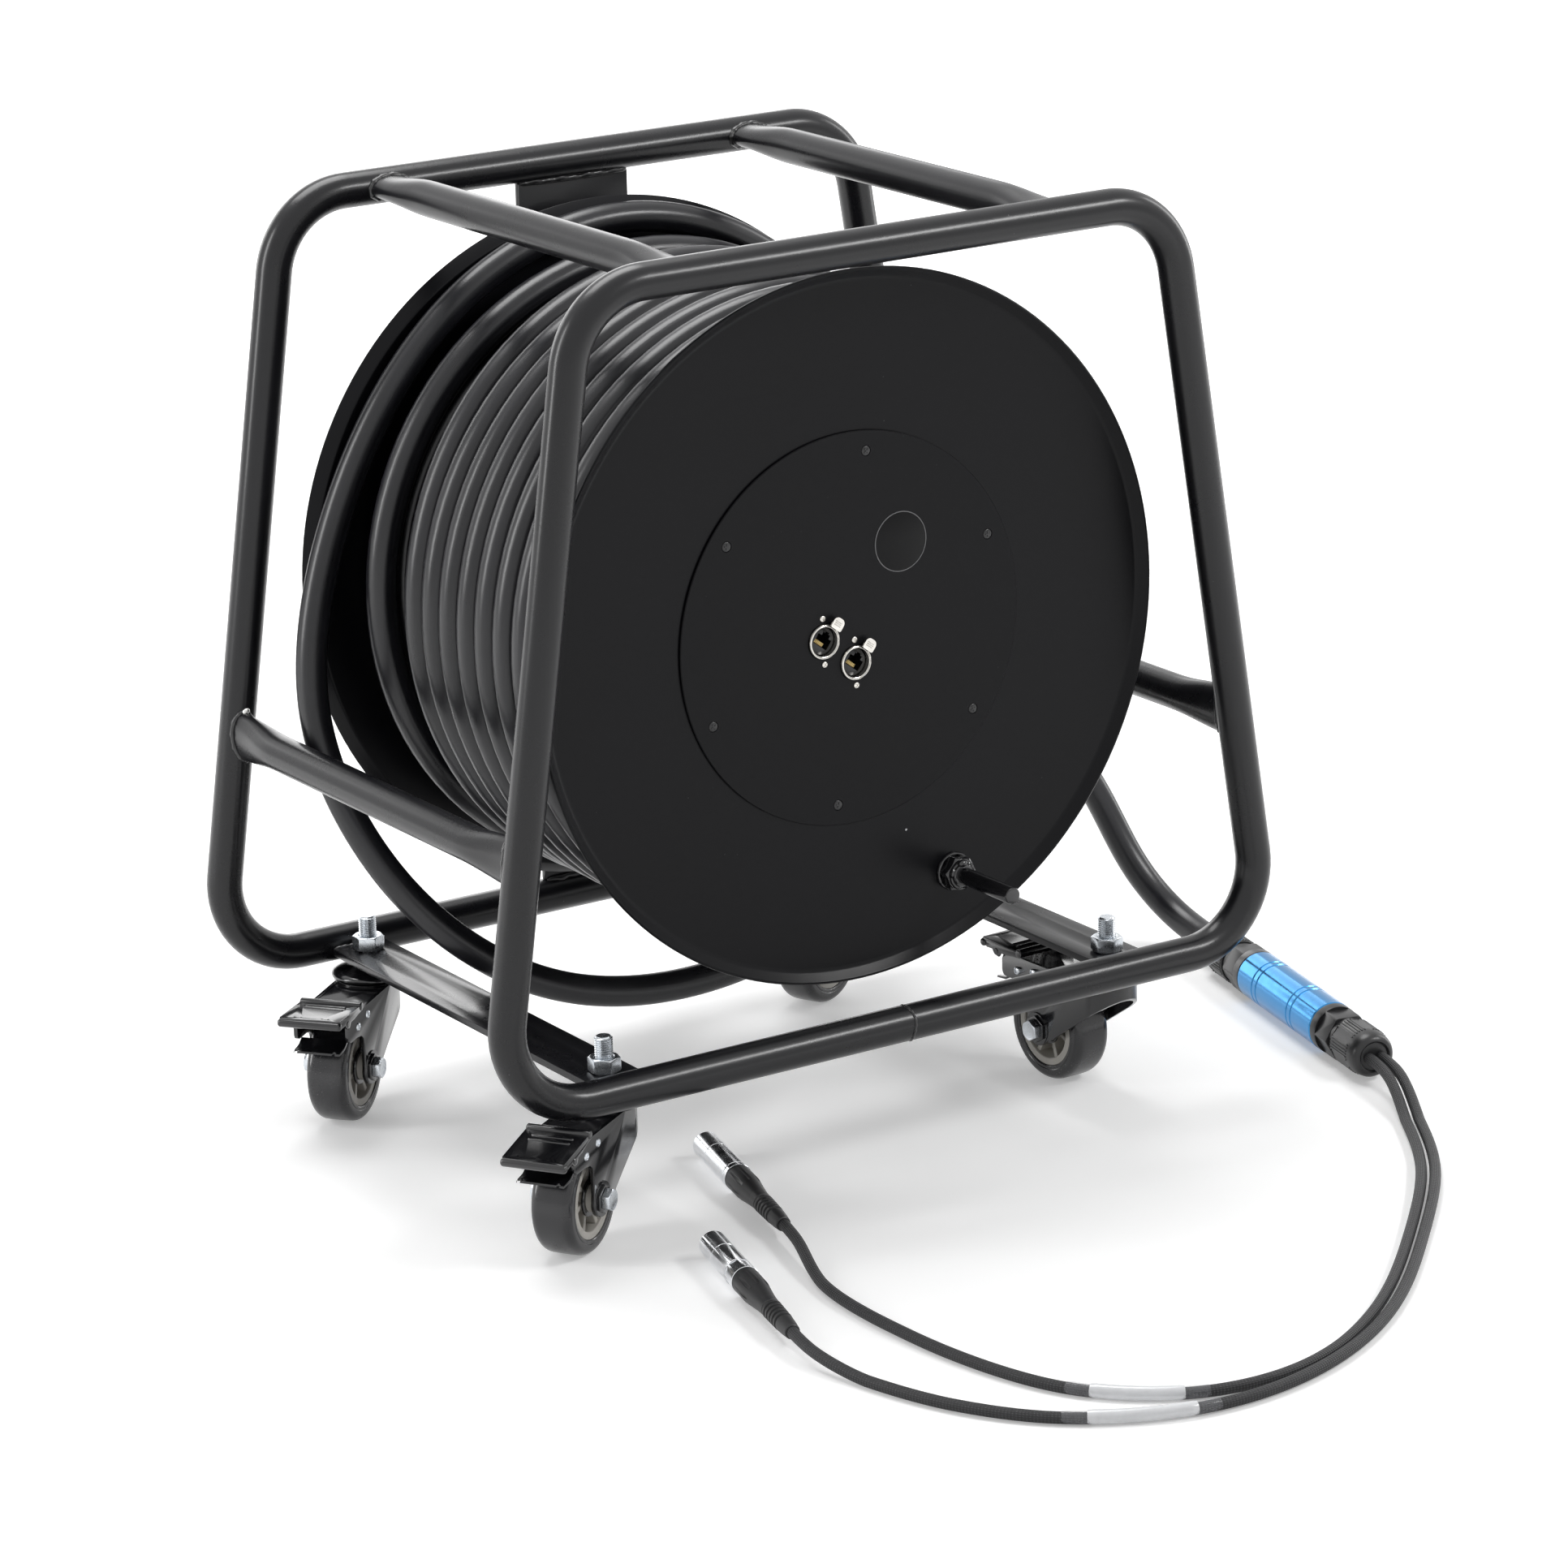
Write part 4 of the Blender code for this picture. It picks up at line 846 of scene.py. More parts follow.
@dataclass(frozen=True)
class Studio:
    """The pale floor, the soft lamps and the camera at the picture's angle."""

    eye: Point = (-1.9688, -3.1143, 1.3449)
    right: Point = (0.83716, -0.54642, -0.02585)
    up: Point = (0.17967, 0.23032, 0.95666)
    back: Point = (-0.5166, -0.8053, 0.291)
    lens: float = 132.48
    film: float = 36.0
    floor_size: float = 60.0
    floor_tone: float = 0.86
    floor_glow: float = 0.3
    far_glow: float = 0.85
    near: float = 0.9
    far: float = 2.4
    sky: float = 0.22
    lamps: Tuple[Lamp, ...] = (
        Lamp("overhead", (0.0, 0.75, 2.5), (0.0, 0.1, 0.2), (1.7, 1.3), 48.0),
        Lamp("behind", (0.3, 3.2, 1.1), (0.0, 0.0, 0.35), (3.6, 1.6), 34.0),
        Lamp("left_strip", (-2.6, 0.9, 1.3), (0.0, 0.0, 0.35), (0.5, 1.9), 32.0),
        Lamp("front_top", (1.4, -1.75, 1.95), (0.0, -0.1, 0.2), (1.1, 0.4), 26.0),
        Lamp("right_strip", (2.8, 0.1, 1.1), (0.0, 0.0, 0.35), (0.5, 1.9), 15.0),
    )

    def camera(self) -> None:
        """Stand the camera where the picture was taken from."""
        data = bpy.data.cameras.new("picture_camera")
        data.lens = self.lens
        data.sensor_width = self.film
        data.clip_end = 200.0
        eye = bpy.data.objects.new("picture_camera", data)
        bpy.context.scene.collection.objects.link(eye)
        axes = Matrix((self.right, self.up, self.back)).transposed().to_4x4()
        eye.matrix_world = Matrix.Translation(self.eye) @ axes
        bpy.context.scene.camera = eye

    def floor(self) -> None:
        """Lay the floor: a little glow where it is seen, so that it reads white."""
        clear_bench()
        bpy.ops.mesh.primitive_plane_add(size=self.floor_size, location=(0, 0, -0.0002))
        ground = bpy.context.view_layer.objects.active
        ground.name = "floor"
        paint = Paint("pale_floor", 0.9)
        paint.shader.inputs["Emission Strength"].default_value = 1.0
        away = paint.node("ShaderNodeVectorMath", {"operation": "LENGTH"}, {0: paint.place()})
        share = Sock(paint, away.outputs["Value"]).above(self.near, self.far)
        level = paint.mixed(share, (self.floor_glow,) * 3, (self.far_glow,) * 3)
        glow = paint.mixed(paint.seen(), (0.0, 0.0, 0.0), level)
        paint.tree.links.new(glow.socket, paint.shader.inputs["Emission Color"])
        ground.data.materials.append(paint.done((self.floor_tone,) * 3))

    def world(self) -> None:
        """A dim even sky that the camera and bright metal see as white."""
        world = bpy.data.worlds.new("sky")
        bpy.context.scene.world = world
        world.use_nodes = True
        mixer = Mixer(world.node_tree)
        shade = mixer.tree.nodes["Background"]
        strength = self.sky + (1.0 - self.sky) * mixer.seen()
        mixer.tree.links.new(strength.socket, shade.inputs["Strength"])
        shade.inputs["Color"].default_value = (1.0, 1.0, 1.0, 1.0)

    def set_up(self) -> None:
        """Build the whole studio."""
        bpy.context.scene.view_settings.view_transform = "Standard"
        self.camera()
        self.floor()
        self.world()
        for lamp in self.lamps:
            lamp.hang()
        LOG.info("studio: camera, floor and %d lamps", len(self.lamps))


@dataclass(frozen=True)
class Layout:
    """The trolley's own measures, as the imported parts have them."""

    tube: float = 0.012
    rail: float = 0.103
    hoop_low: float = 0.3
    hoop_top: float = 0.2224
    hoop_rise: float = 0.516
    front: float = -0.17265
    rear: float = 0.20145
    middle: float = 0.0144
    bend: float = 0.055
    shaft: float = 0.3604
    stem_x: float = 0.198
    stem_y: Tuple[float, float] = (-0.1326, 0.1754)

    def leg(self, rise: float) -> float:
        """Half the width between a hoop's legs at a height over the rails."""
        return self.hoop_low + (self.hoop_top - self.hoop_low) * rise / self.hoop_rise

    def round_shaft(self, radius: float, angle: float, y: float) -> Vector:
        """A point round the shaft; y is measured from the frame's middle."""
        return Vector((radius * math.cos(angle), self.middle + y, self.shaft + radius * math.sin(angle)))

    def on_shaft(self) -> Matrix:
        """Lays local +Z along the shaft, towards the rear."""
        return shifted(0, 0, self.shaft) @ spun(-math.pi / 2, "X")


LAYOUT = Layout()


def run_of(points: np.ndarray) -> np.ndarray:
    """How far along a line each of its points is."""
    return np.concatenate([[0.0], np.cumsum(np.linalg.norm(np.diff(points, axis=0), axis=1))])


def smooth_route(points: Sequence[Sequence[float]], step: float) -> np.ndarray:
    """Points at equal steps on a natural cubic curve through the given ones.

    Args:
        points: the given points.
        step: the wanted spacing in metres.

    Returns:
        One row for each point.
    """
    knots = np.array(points, dtype=float)
    t = run_of(knots)
    n, h = len(t), np.diff(t)
    matrix = np.zeros((n, n))
    right = np.zeros((n, 3))
    matrix[0, 0] = matrix[-1, -1] = 1.0
    for i in range(1, n - 1):
        matrix[i, i - 1:i + 2] = (h[i - 1], 2 * (h[i - 1] + h[i]), h[i])
        right[i] = 6 * ((knots[i + 1] - knots[i]) / h[i] - (knots[i] - knots[i - 1]) / h[i - 1])
    bend = np.linalg.solve(matrix, right)
    fine = []
    for s in np.linspace(0.0, t[-1], 60 * n):
        i = min(max(int(np.searchsorted(t, s)) - 1, 0), n - 2)
        a, b = (t[i + 1] - s) / h[i], (s - t[i]) / h[i]
        cubic = ((a ** 3 - a) * bend[i] + (b ** 3 - b) * bend[i + 1]) * h[i] ** 2 / 6
        fine.append(a * knots[i] + b * knots[i + 1] + cubic)
    rows = np.array(fine)
    run = run_of(rows)
    marks = np.linspace(0.0, run[-1], max(int(round(run[-1] / step)), 2) + 1)
    return np.stack([np.interp(marks, run, rows[:, k]) for k in range(3)], axis=1)


def swept(
    name: str, points: Sequence[Sequence[float]], radius: Union[float, Sequence[float]], sides: int = 20
) -> Workpiece:
    """A round cord along points, with a UV map: once round, and metres along.

    Args:
        name: the piece's name.
        points: the centreline.
        radius: one radius, or one for each point.
        sides: how many faces go round.

    Returns:
        The new workpiece.
    """
    line = np.array(points, dtype=float)
    count = len(line)
    radii = np.full(count, radius) if isinstance(radius, float) else np.array(radius)
    tangent = np.gradient(line, axis=0)
    tangent /= np.linalg.norm(tangent, axis=1)[:, None]
    side = np.cross(tangent[0], (0.0, 0.0, 1.0) if abs(tangent[0][2]) < 0.9 else (1.0, 0.0, 0.0))
    verts = []
    for i in range(count):
        side = side - tangent[i] * (side @ tangent[i])
        side /= np.linalg.norm(side)
        over = np.cross(tangent[i], side)
        for k in range(sides):
            a = 2 * math.pi * k / sides
            verts.append(tuple(line[i] + radii[i] * (math.cos(a) * side + math.sin(a) * over)))
    faces = []
    for i in range(count - 1):
        for k in range(sides):
            j = (k + 1) % sides
            faces.append((i * sides + k, i * sides + j, (i + 1) * sides + j, (i + 1) * sides + k))
    faces.append(tuple(range(sides))[::-1])
    faces.append(tuple(range((count - 1) * sides, count * sides)))
    mesh = bpy.data.meshes.new(name)
    mesh.from_pydata(verts, [], faces)
    run = run_of(line)
    layer = mesh.uv_layers.new(name="along")
    for face in mesh.polygons[:-2]:
        i, k = divmod(face.index, sides)
        for loop, (row, turn) in zip(face.loop_indices, ((i, k), (i, k + 1), (i + 1, k + 1), (i + 1, k))):
            layer.data[loop].uv = (turn / sides, run[row])
    obj = bpy.data.objects.new(name, mesh)
    bpy.context.scene.collection.objects.link(obj)
    return Workpiece(obj).smooth(50.0)


@dataclass
class TubeFrame:
    """Two bent hoops, the tubes, bars and plate welded between them."""

    top_tubes: Tuple[Tuple[str, float], ...] = (("left", -0.1455), ("right", 0.137))
    side_rise: float = 0.1615
    flat_half: float = 0.0078
    flat_long: float = 0.0165
    flat_run: float = 0.055
    bar_size: Tuple[float, float] = (0.04, 0.005)
    plate_size: Tuple[float, float] = (0.086, 0.005)
    bead: float = 0.0019
    body: str = "frame"
    beads: List[Workpiece] = field(default_factory=list)

    def hoop(self, name: str, y: float) -> None:
        """Extrude a ring of the tube along each side and spin it at each bend."""
        at = LAYOUT
        top = at.rail + at.hoop_rise
        corners = [
            Vector((-at.hoop_low, y, at.rail)), Vector((at.hoop_low, y, at.rail)),
            Vector((at.hoop_top, y, top)), Vector((-at.hoop_top, y, top)),
        ]
        start = (corners[0] + corners[1]) / 2
        clear_bench()
        bpy.ops.mesh.primitive_circle_add(
            vertices=36, radius=at.tube, fill_type="NOTHING", location=start,
            rotation=(0.0, math.pi / 2, 0.0),
        )
        piece = Workpiece._added(name + "_tube")
        bpy.ops.object.mode_set(mode="EDIT")
        bpy.ops.mesh.select_all(action="SELECT")
        here = start
        for i in range(1, 5):
            corner = corners[i % 4]
            back = (corners[i - 1] - corner).normalized()
            on = (corners[(i + 1) % 4] - corner).normalized()
            half = back.angle(on) / 2
            centre = corner + (back + on).normalized() * at.bend / math.sin(half)
            entry = corner + back * at.bend / math.tan(half)
            bpy.ops.mesh.extrude_region_move(TRANSFORM_OT_translate={"value": entry - here})
            bpy.ops.mesh.spin(
                steps=18, angle=2 * half - math.pi, center=centre, axis=(-back).cross(on).normalized()
            )
            here = corner + on * at.bend / math.tan(half)
        bpy.ops.mesh.extrude_region_move(TRANSFORM_OT_translate={"value": start - here})
        piece.closed_up().smooth(40.0)
        piece.dressed(Finish.TUBE, "black_tube", self.body, name)

    def saddle(self, name: str, centre: Vector, half: Tuple[float, float], lean: Vector, side: int) -> None:
        """A weld bead where an oval tube meets a hoop.

        Args:
            name: the bead's name.
            centre: where the tube's axis crosses the hoop's.
            half: the oval's half width and half height.
            lean: the hoop tube's own direction there.
            side: 1 where the tube goes to the rear of the hoop, else -1.
        """
        lean = lean.normalized()
        points, radii = [], []
        for k in range(73):
            a = 2 * math.pi * k / 72
            x, z = half[0] * math.cos(a), half[1] * math.sin(a)
            off = min(abs(x * lean.z - z * lean.x), LAYOUT.tube * 0.995)
            y = math.sqrt(LAYOUT.tube ** 2 - off ** 2)
            points.append(centre + Vector((x, side * y, z)))
            ripple = math.sin(11 * a) + 0.6 * math.sin(23 * a + 1.0) + 0.5 * math.sin(5 * a + 2.0)
            radii.append(self.bead * (1.0 + 0.13 * ripple))
        self.beads.append(swept(name, points, radii, 8))

    def cope(self, piece: Workpiece, centre: Vector, lean: Vector) -> None:
        """Cut a tube's end to the round of the hoop that it meets."""
        reach = lean.normalized() * 0.06
        piece.cut(Workpiece.rod("cope", centre - reach, centre + reach, LAYOUT.tube + 0.0001, 48))

    def rings(self, wide: float, tall: float) -> List[Tuple[float, float, float]]:
        """Stations of a round tube whose ends are pressed to an oval."""
        rows = []
        for end, sign in ((LAYOUT.front, 1.0), (LAYOUT.rear, -1.0)):
            part = [(end + sign * 0.002, wide, tall)]
            for k in range(9):
                share = 0.5 + 0.5 * math.cos(math.pi * k / 8)
                y = end + sign * (LAYOUT.tube * 0.9 + self.flat_run * k / 8)
                part.append((y, LAYOUT.tube + (wide - LAYOUT.tube) * share,
                             LAYOUT.tube + (tall - LAYOUT.tube) * share))
            rows += part if sign > 0 else part[::-1]
        return rows

    def cross_tube(self, name: str, x: float, z: float, oval: Tuple[float, float], lean: Vector) -> None:
        """Loft, cope and weld one of the four tubes that join the hoops.

        Args:
            name: the node it stands for.
            x: its place across.
            z: its height.
            oval: half width and half height of its pressed ends.
            lean: the direction of the hoop tube that it meets.
        """
        rows = [((x, y, z), w, h) for y, w, h in self.rings(*oval)]
        piece = Workpiece.loft(name + "_pressed", rows, 36)
        for end, side, y in (("front", 1, LAYOUT.front), ("rear", -1, LAYOUT.rear)):
            centre = Vector((x, y, z))
            self.cope(piece, centre, lean)
            self.saddle("%s_bead_%s" % (name, end), centre, oval, lean, side)
        piece.smooth(40.0)
        piece.dressed(Finish.TUBE, "black_tube", self.body, name)

    def bar(self, side: int) -> None:
        """A flat bar between the hoops' bottom tubes, with its end welds."""
        word = "left" if side < 0 else "right"
        width, thick = self.bar_size
        low, high = LAYOUT.front + LAYOUT.tube + SKIN, LAYOUT.rear - LAYOUT.tube - SKIN
        x, z = side * LAYOUT.stem_x, LAYOUT.rail - thick / 2
        centre = (x, (low + high) / 2, z)
        piece = Workpiece.box("caster_bar_%s_flat" % word, centre, (width, high - low, thick))
        for y in LAYOUT.stem_y:
            piece.cut(Workpiece.rod("hole", (x, y, z - 0.02), (x, y, z + 0.02), 0.0063, 32))
        piece.eased(0.0007, 2).smooth(30.0)
        piece.dressed(Finish.TUBE, "black_tube", self.body, "caster_bar_" + word)
        for end, y, way in (("front", low, 1.0), ("rear", high, -1.0)):
            for level, height in (("top", LAYOUT.rail - 0.0004), ("under", LAYOUT.rail - thick + 0.0006)):
                points, radii = [], []
                for k in range(33):
                    t = k / 32
                    wave = math.sin(17 * t + side) + 0.7 * math.sin(41 * t + 2.0 * way)
                    points.append((x + width * (t - 0.5) * 0.96, y + way * 0.0002 * wave, height))
                    radii.append(0.0021 * (0.35 + 0.65 * math.sin(math.pi * t) ** 0.3) * (1 + 0.14 * wave))
                self.beads.append(swept("bar_bead_%s_%s_%s" % (word, end, level), points, radii, 8))

    def plate(self) -> None:
        """The plate that carries the drum's shaft, with ragged welds."""
        width, thick = self.plate_size
        low = LAYOUT.rail + LAYOUT.tube + SKIN
        high = LAYOUT.rail + LAYOUT.hoop_rise - LAYOUT.tube - SKIN
        centre = (0.0, LAYOUT.rear, (low + high) / 2)
        piece = Workpiece.box("spindle_plate_flat", centre, (width, thick, high - low))
        piece.eased(0.0008, 2).smooth(30.0)
        piece.dressed(Finish.TUBE, "black_tube", self.body, "spindle_plate")
        for level, z, lift in (("top", high, 1.0), ("low", low, -1.0)):
            for face in (-1, 1):
                points, radii = [], []
                for k in range(49):
                    t = k / 48
                    wave = math.sin(23 * t + face) + 0.8 * math.sin(51 * t + 1.0) + 0.5 * math.sin(9 * t)
                    y = LAYOUT.rear + face * (thick / 2 + 0.0004)
                    points.append((width * (t - 0.5) * 0.97, y, z + lift * 0.0004 * wave))
                    radii.append(0.0026 * (0.3 + 0.7 * math.sin(math.pi * t) ** 0.25) * (1 + 0.16 * wave))
                self.beads.append(swept("plate_bead_%s_%d" % (level, face + 1), points, radii, 8))

    def blob(self, name: str, place: Point, size: Point, finish: Finish) -> None:
        """A small drop of weld or paint, pressed and pulled from a ball."""
        move = (size[0] * 0.3, -size[1] * 0.2, size[2] * 0.25)
        piece = Workpiece.ball(name, place, size)
        piece.worked(lambda c, n: n.x > 0.3 and n.z > 0.1, bpy.ops.transform.translate, value=move)
        piece.applied("SMOOTH", factor=0.5, iterations=2).smooth(60.0)
        piece.dressed(finish, "black_tube", self.body)

    def marks(self) -> None:
        """The tube's butt seam and what the welder left on the left leg."""
        at = LAYOUT
        points, radii = [], []
        for k in range(41):
            a = math.radians(-75.0 + 190.0 * k / 40)
            y = at.front - at.tube * math.cos(a) * 0.995
            points.append((0.0068 + 0.0008 * math.sin(3 * a), y, at.rail + at.tube * math.sin(a) * 0.995))
            radii.append(0.001 * (0.35 + 0.65 * math.sin(math.pi * k / 40) ** 0.5)
                         * (1 + 0.2 * math.sin(k * 1.9)))
        self.beads.append(swept("butt_seam", points, radii, 8))
        x = -at.leg(self.side_rise)
        z = at.rail + self.side_rise
        for name, place, size, finish in (
            ("spatter", (x + 0.001, at.rear - 0.0125, z + 0.0165), (0.0024, 0.002, 0.0028), Finish.SPATTER),
            ("paint_run", (x + 0.0012, at.rear - 0.0128, z - 0.0158), (0.0022, 0.0018, 0.0018), Finish.WELD),
        ):
            self.blob(name, place, size, finish)

    def build(self) -> None:
        """Make the whole frame."""
        at = LAYOUT
        self.hoop("front_hoop", at.front)
        self.hoop("rear_hoop", at.rear)
        across = Vector((1.0, 0.0, 0.0))
        for word, x in self.top_tubes:
            self.cross_tube("top_tube_" + word, x, at.rail + at.hoop_rise,
                            (self.flat_long * 0.93, self.flat_half), across)
        for word, side in (("left", -1), ("right", 1)):
            lean = Vector((side * (at.hoop_top - at.hoop_low), 0.0, at.hoop_rise))
            self.cross_tube("side_tube_" + word, side * at.leg(self.side_rise),
                            at.rail + self.side_rise, (self.flat_half, self.flat_long), lean)
            self.bar(side)
        self.plate()
        self.marks()
        welds = self.beads[0].joined(self.beads[1:])
        welds.obj.name = "frame_welds"
        welds.smooth(50.0).dressed(Finish.WELD, "black_tube", self.body)
        LOG.info("tube frame: %d weld beads", len(self.beads))


@dataclass
class Drum:
    """Flanges, connector panel, crank peg and barrel, all on the shaft."""

    rim: float = 0.236
    flat: float = 0.2276
    opening: float = 0.105
    front_in: float = -0.1261
    front_out: float = -0.1286
    rear_in: float = 0.1659
    rear_out: float = 0.1684
    panel_radius: float = 0.13
    panel_thick: float = 0.0017
    panel_turn: float = math.radians(-36.8)
    screw_orbit: float = 0.1165
    screw_first: float = math.radians(23.2)
    disc_rise: float = 0.065
    disc_radius: float = 0.02
    crank_orbit: float = 0.194
    crank_angle: float = math.radians(-66.8)
    body: str = "drum"

    @property
    def panel_back(self) -> float:
        """The y of the panel's back face."""
        return self.front_out - SKIN

    @property
    def panel_face(self) -> float:
        """The y of the panel's front face."""
        return self.panel_back - self.panel_thick

    def on_panel(self, u: float, v: float, out: float = 0.0) -> Matrix:
        """Sets local X across, Y up and Z out of the turned panel at a place on it."""
        turn = spun(-self.panel_turn, "Y")
        stand = shifted(u, self.panel_face - out, v) @ spun(math.pi / 2, "X")
        return shifted(0, 0, LAYOUT.shaft) @ turn @ stand

    def facing_front(self, angle: float, orbit: float, y: float) -> Matrix:
        """Sets local Z out of the front flange at a place round the shaft."""
        x, z = orbit * math.cos(angle), LAYOUT.shaft + orbit * math.sin(angle)
        return shifted(x, y, z) @ spun(math.pi / 2, "X")

    def flange(self, name: str, sign: float, inside: float, outside: float, opening: float) -> None:
        """Spin a flange with a soft bend and a flared, folded rim.

        Args:
            name: the node it stands for.
            sign: -1 for the front flange, 1 for the rear one.
            inside: the y of its inner face.
            outside: the y of its outer face.
            opening: the radius of the hole in its middle.
        """
        profile = [(opening, inside), (self.flat, inside)]
        for k in range(1, 7):
            share = k / 6
            profile.append((self.flat + 0.0024 * share, inside + sign * 0.0012 * share ** 2))
        profile += [
            (self.rim - 0.0003, inside + sign * 0.0057), (self.rim, inside + sign * 0.0062),
            (self.rim - 0.0002, inside + sign * 0.007), (self.rim - 0.001, inside + sign * 0.0076),
            (self.rim - 0.0019, inside + sign * 0.0076), (self.rim - 0.0026, inside + sign * 0.0071),
        ]
        for k in range(6, -1, -1):
            share = k / 6
            profile.append((self.flat - 0.0013 + 0.003 * share, outside + sign * 0.001 * share ** 2))
        profile.append((opening, outside))
        piece = Workpiece.lathe(name + "_spun", profile, 160, 24.0).moved(LAYOUT.on_shaft())
        piece.dressed(Finish.COAT, "black_coat", self.body, name)

    def cross_screw(self, name: str, head: float, high: float, proud: float) -> Workpiece:
        """A cross-head screw about local Z, its head's rim at zero height.

        Args:
            name: the piece's name.
            head: the head's radius.
            high: how far the crown stands up.
            proud: the height of the head's edge.

        Returns:
            The screw, at the origin.
        """
        profile = [(0.0, -0.0012), (head * 0.8, -0.0012), (head, 0.0), (head, proud)]
        for k in range(1, 6):
            a = math.pi / 2 * k / 5
            profile.append((head * math.cos(a * 0.96), proud + (high - proud) * math.sin(a)))
        profile[-1] = (0.0, high)
        piece = Workpiece.lathe(name, profile, 32, 40.0)
        for size in ((head * 1.15, head * 0.24, high * 1.6), (head * 0.24, head * 1.15, high * 1.6)):
            piece.cut(Workpiece.box("cross", (0, 0, high), size))
        return piece.smooth(35.0)

    def panel(self, sockets: Sequence["Socket"]) -> None:
        """The round panel with its holes, and the six screws that hold it."""
        r, t = self.panel_radius, self.panel_thick
        profile = [(0.0, -t), (r - 0.0002, -t), (r, -t + 0.0002), (r, -0.0005), (r - 0.0005, 0.0), (0.0, 0.0)]
        piece = Workpiece.lathe("connector_panel_disc", profile, 144, 24.0)
        for socket in sockets:
            u, v = socket.across, socket.rise
            piece.cut(Workpiece.rod("hole", (u, v, -0.01), (u, v, 0.01), socket.radius + SKIN, 64))
            piece.cut(Workpiece.box("slot", (u, v + socket.tab_rise, 0.0), (0.0056, 0.003, 0.02)))
        for k in range(6):
            a = self.screw_first - self.panel_turn + k * math.pi / 3
            x, y = self.screw_orbit * math.cos(a), self.screw_orbit * math.sin(a)
            piece.cut(Workpiece.rod("sink", (x, y, -0.001), (x, y, 0.004), 0.0036, 32))
        piece.smooth(24.0).moved(self.on_panel(0.0, 0.0))
        piece.dressed(Finish.PANEL, "panel_black", self.body, "connector_panel")
        screw = self.cross_screw("screw", 0.0033, 0.0004, -0.0003)
        for k in range(6):
            a = self.screw_first + k * math.pi / 3
            stand = self.facing_front(a, self.screw_orbit, self.panel_face) @ spun(0.7 * k, "Z")
            twin = screw.again("panel_screw_%d" % (k + 1), stand)
            twin.dressed(Finish.SCREW, "panel_black", self.body)
        screw.drop()

    def disc(self) -> None:
        """The bare round disc on the panel, with its thin pale edge."""
        r = self.disc_radius
        edge = [
            (r - 0.0006, 0.0), (r - 0.0006, 0.00035), (r - 0.0001, 0.00035), (r, 0.0002), (r, 0.0),
        ]
        face = [
            (0.0, 0.0), (r - 0.0006, 0.0), (r - 0.0006, 0.0003), (r - 0.001, 0.00042), (0.0, 0.00042),
        ]
        for name, profile, finish in (
            ("disc_edge", edge, Finish.DISC_EDGE), ("panel_disc", face, Finish.DISC),
        ):
            piece = Workpiece.lathe(name, profile, 96).moved(self.on_panel(0.0, self.disc_rise))
            piece.dressed(finish, "panel_black", self.body)

    def crank(self) -> None:
        """The crank peg: hex nut, weld, collar and a round bar with an eased tip."""
        stand = self.facing_front(self.crank_angle, self.crank_orbit, self.front_out - SKIN)
        dome = mm(0, -1, 14, -1, 14, 7.2, 10.4, 10, 0, 10)
        nut = Workpiece.hexagon("crank_nut", 0.0, 0.01, 0.021, dome, 48).eased(0.0003, 2)
        nut.moved(spun(0.35, "Z"))
        profile = mm(
            0, 6, 7.8, 6, 7.8, 12.8, 7.1, 13.5, 5.75, 13.7, 5.75, 67.4, 5.2, 68.3, 4.6, 68.5,
            0, 68.5,
        )
        bar = Workpiece.lathe("crank_bar", profile, 48)
        beads = []
        for name, steps, orbit, z, sway, radius, swell, waves in (
            ("crank_bead", 48, 0.0084, 0.0106, 0.0003, 0.0015, 0.0003, ((5, 0.0, 1.0), (9, 1.0, 0.7))),
            ("crank_foot", 60, 0.0118, 0.0006, 0.0, 0.0012, 0.0002, ((7, 2.0, 1.0), (13, 0.0, 0.6))),
        ):
            points, radii = [], []
            for k in range(steps + 1):
                a = 2 * math.pi * k / steps
                wave = sum(share * math.sin(count * a + phase) for count, phase, share in waves)
                points.append((orbit * math.cos(a), orbit * math.sin(a), z + sway * wave))
                radii.append(radius + swell * wave)
            beads.append(swept(name, points, radii, 8))
        drop = Workpiece.ball("crank_drop", (-0.001, 0.0085, 0.0125), (0.0034, 0.0026, 0.0028)).smooth(60.0)
        nut.joined([bar, *beads, drop])
        nut.obj.name = "crank_welded"
        nut.smooth(35.0).moved(stand)
        nut.dressed(Finish.CASTER, "black_coat", self.body, "crank_peg")

    def rear_hub(self) -> None:
        """The turned boss and hex bolts at the middle of the rear flange."""
        y = self.rear_out
        profile = mm(20.5, 0, 56, 0, 56, 1.8, 55.2, 2.6, 33, 2.6, 31, 4, 29, 5.2, 20.5, 5.2)
        boss = Workpiece.lathe("rear_boss", profile, 96)
        boss.moved(shifted(0, y, LAYOUT.shaft) @ spun(-math.pi / 2, "X"))
        boss.dressed(Finish.COAT, "black_coat", self.body)
        dome = mm(0, -1, 8, -1, 8, 2.6, 5, 3.8, 0, 3.8)
        head = Workpiece.hexagon("bolt", 0.0, 0.0038, 0.01, dome, 32).eased(0.0002, 2).smooth(30.0)
        for k in range(6):
            a = math.radians(30.0 + 60.0 * k)
            place = (0.044 * math.cos(a), y + 0.0026, LAYOUT.shaft + 0.044 * math.sin(a))
            stand = Matrix.Translation(place) @ spun(-math.pi / 2, "X")
            twin = head.again("rear_bolt_%d" % (k + 1), stand @ spun(0.4 * k, "Z"))
            twin.dressed(Finish.ZINC, "zinc", self.body)
        head.drop()

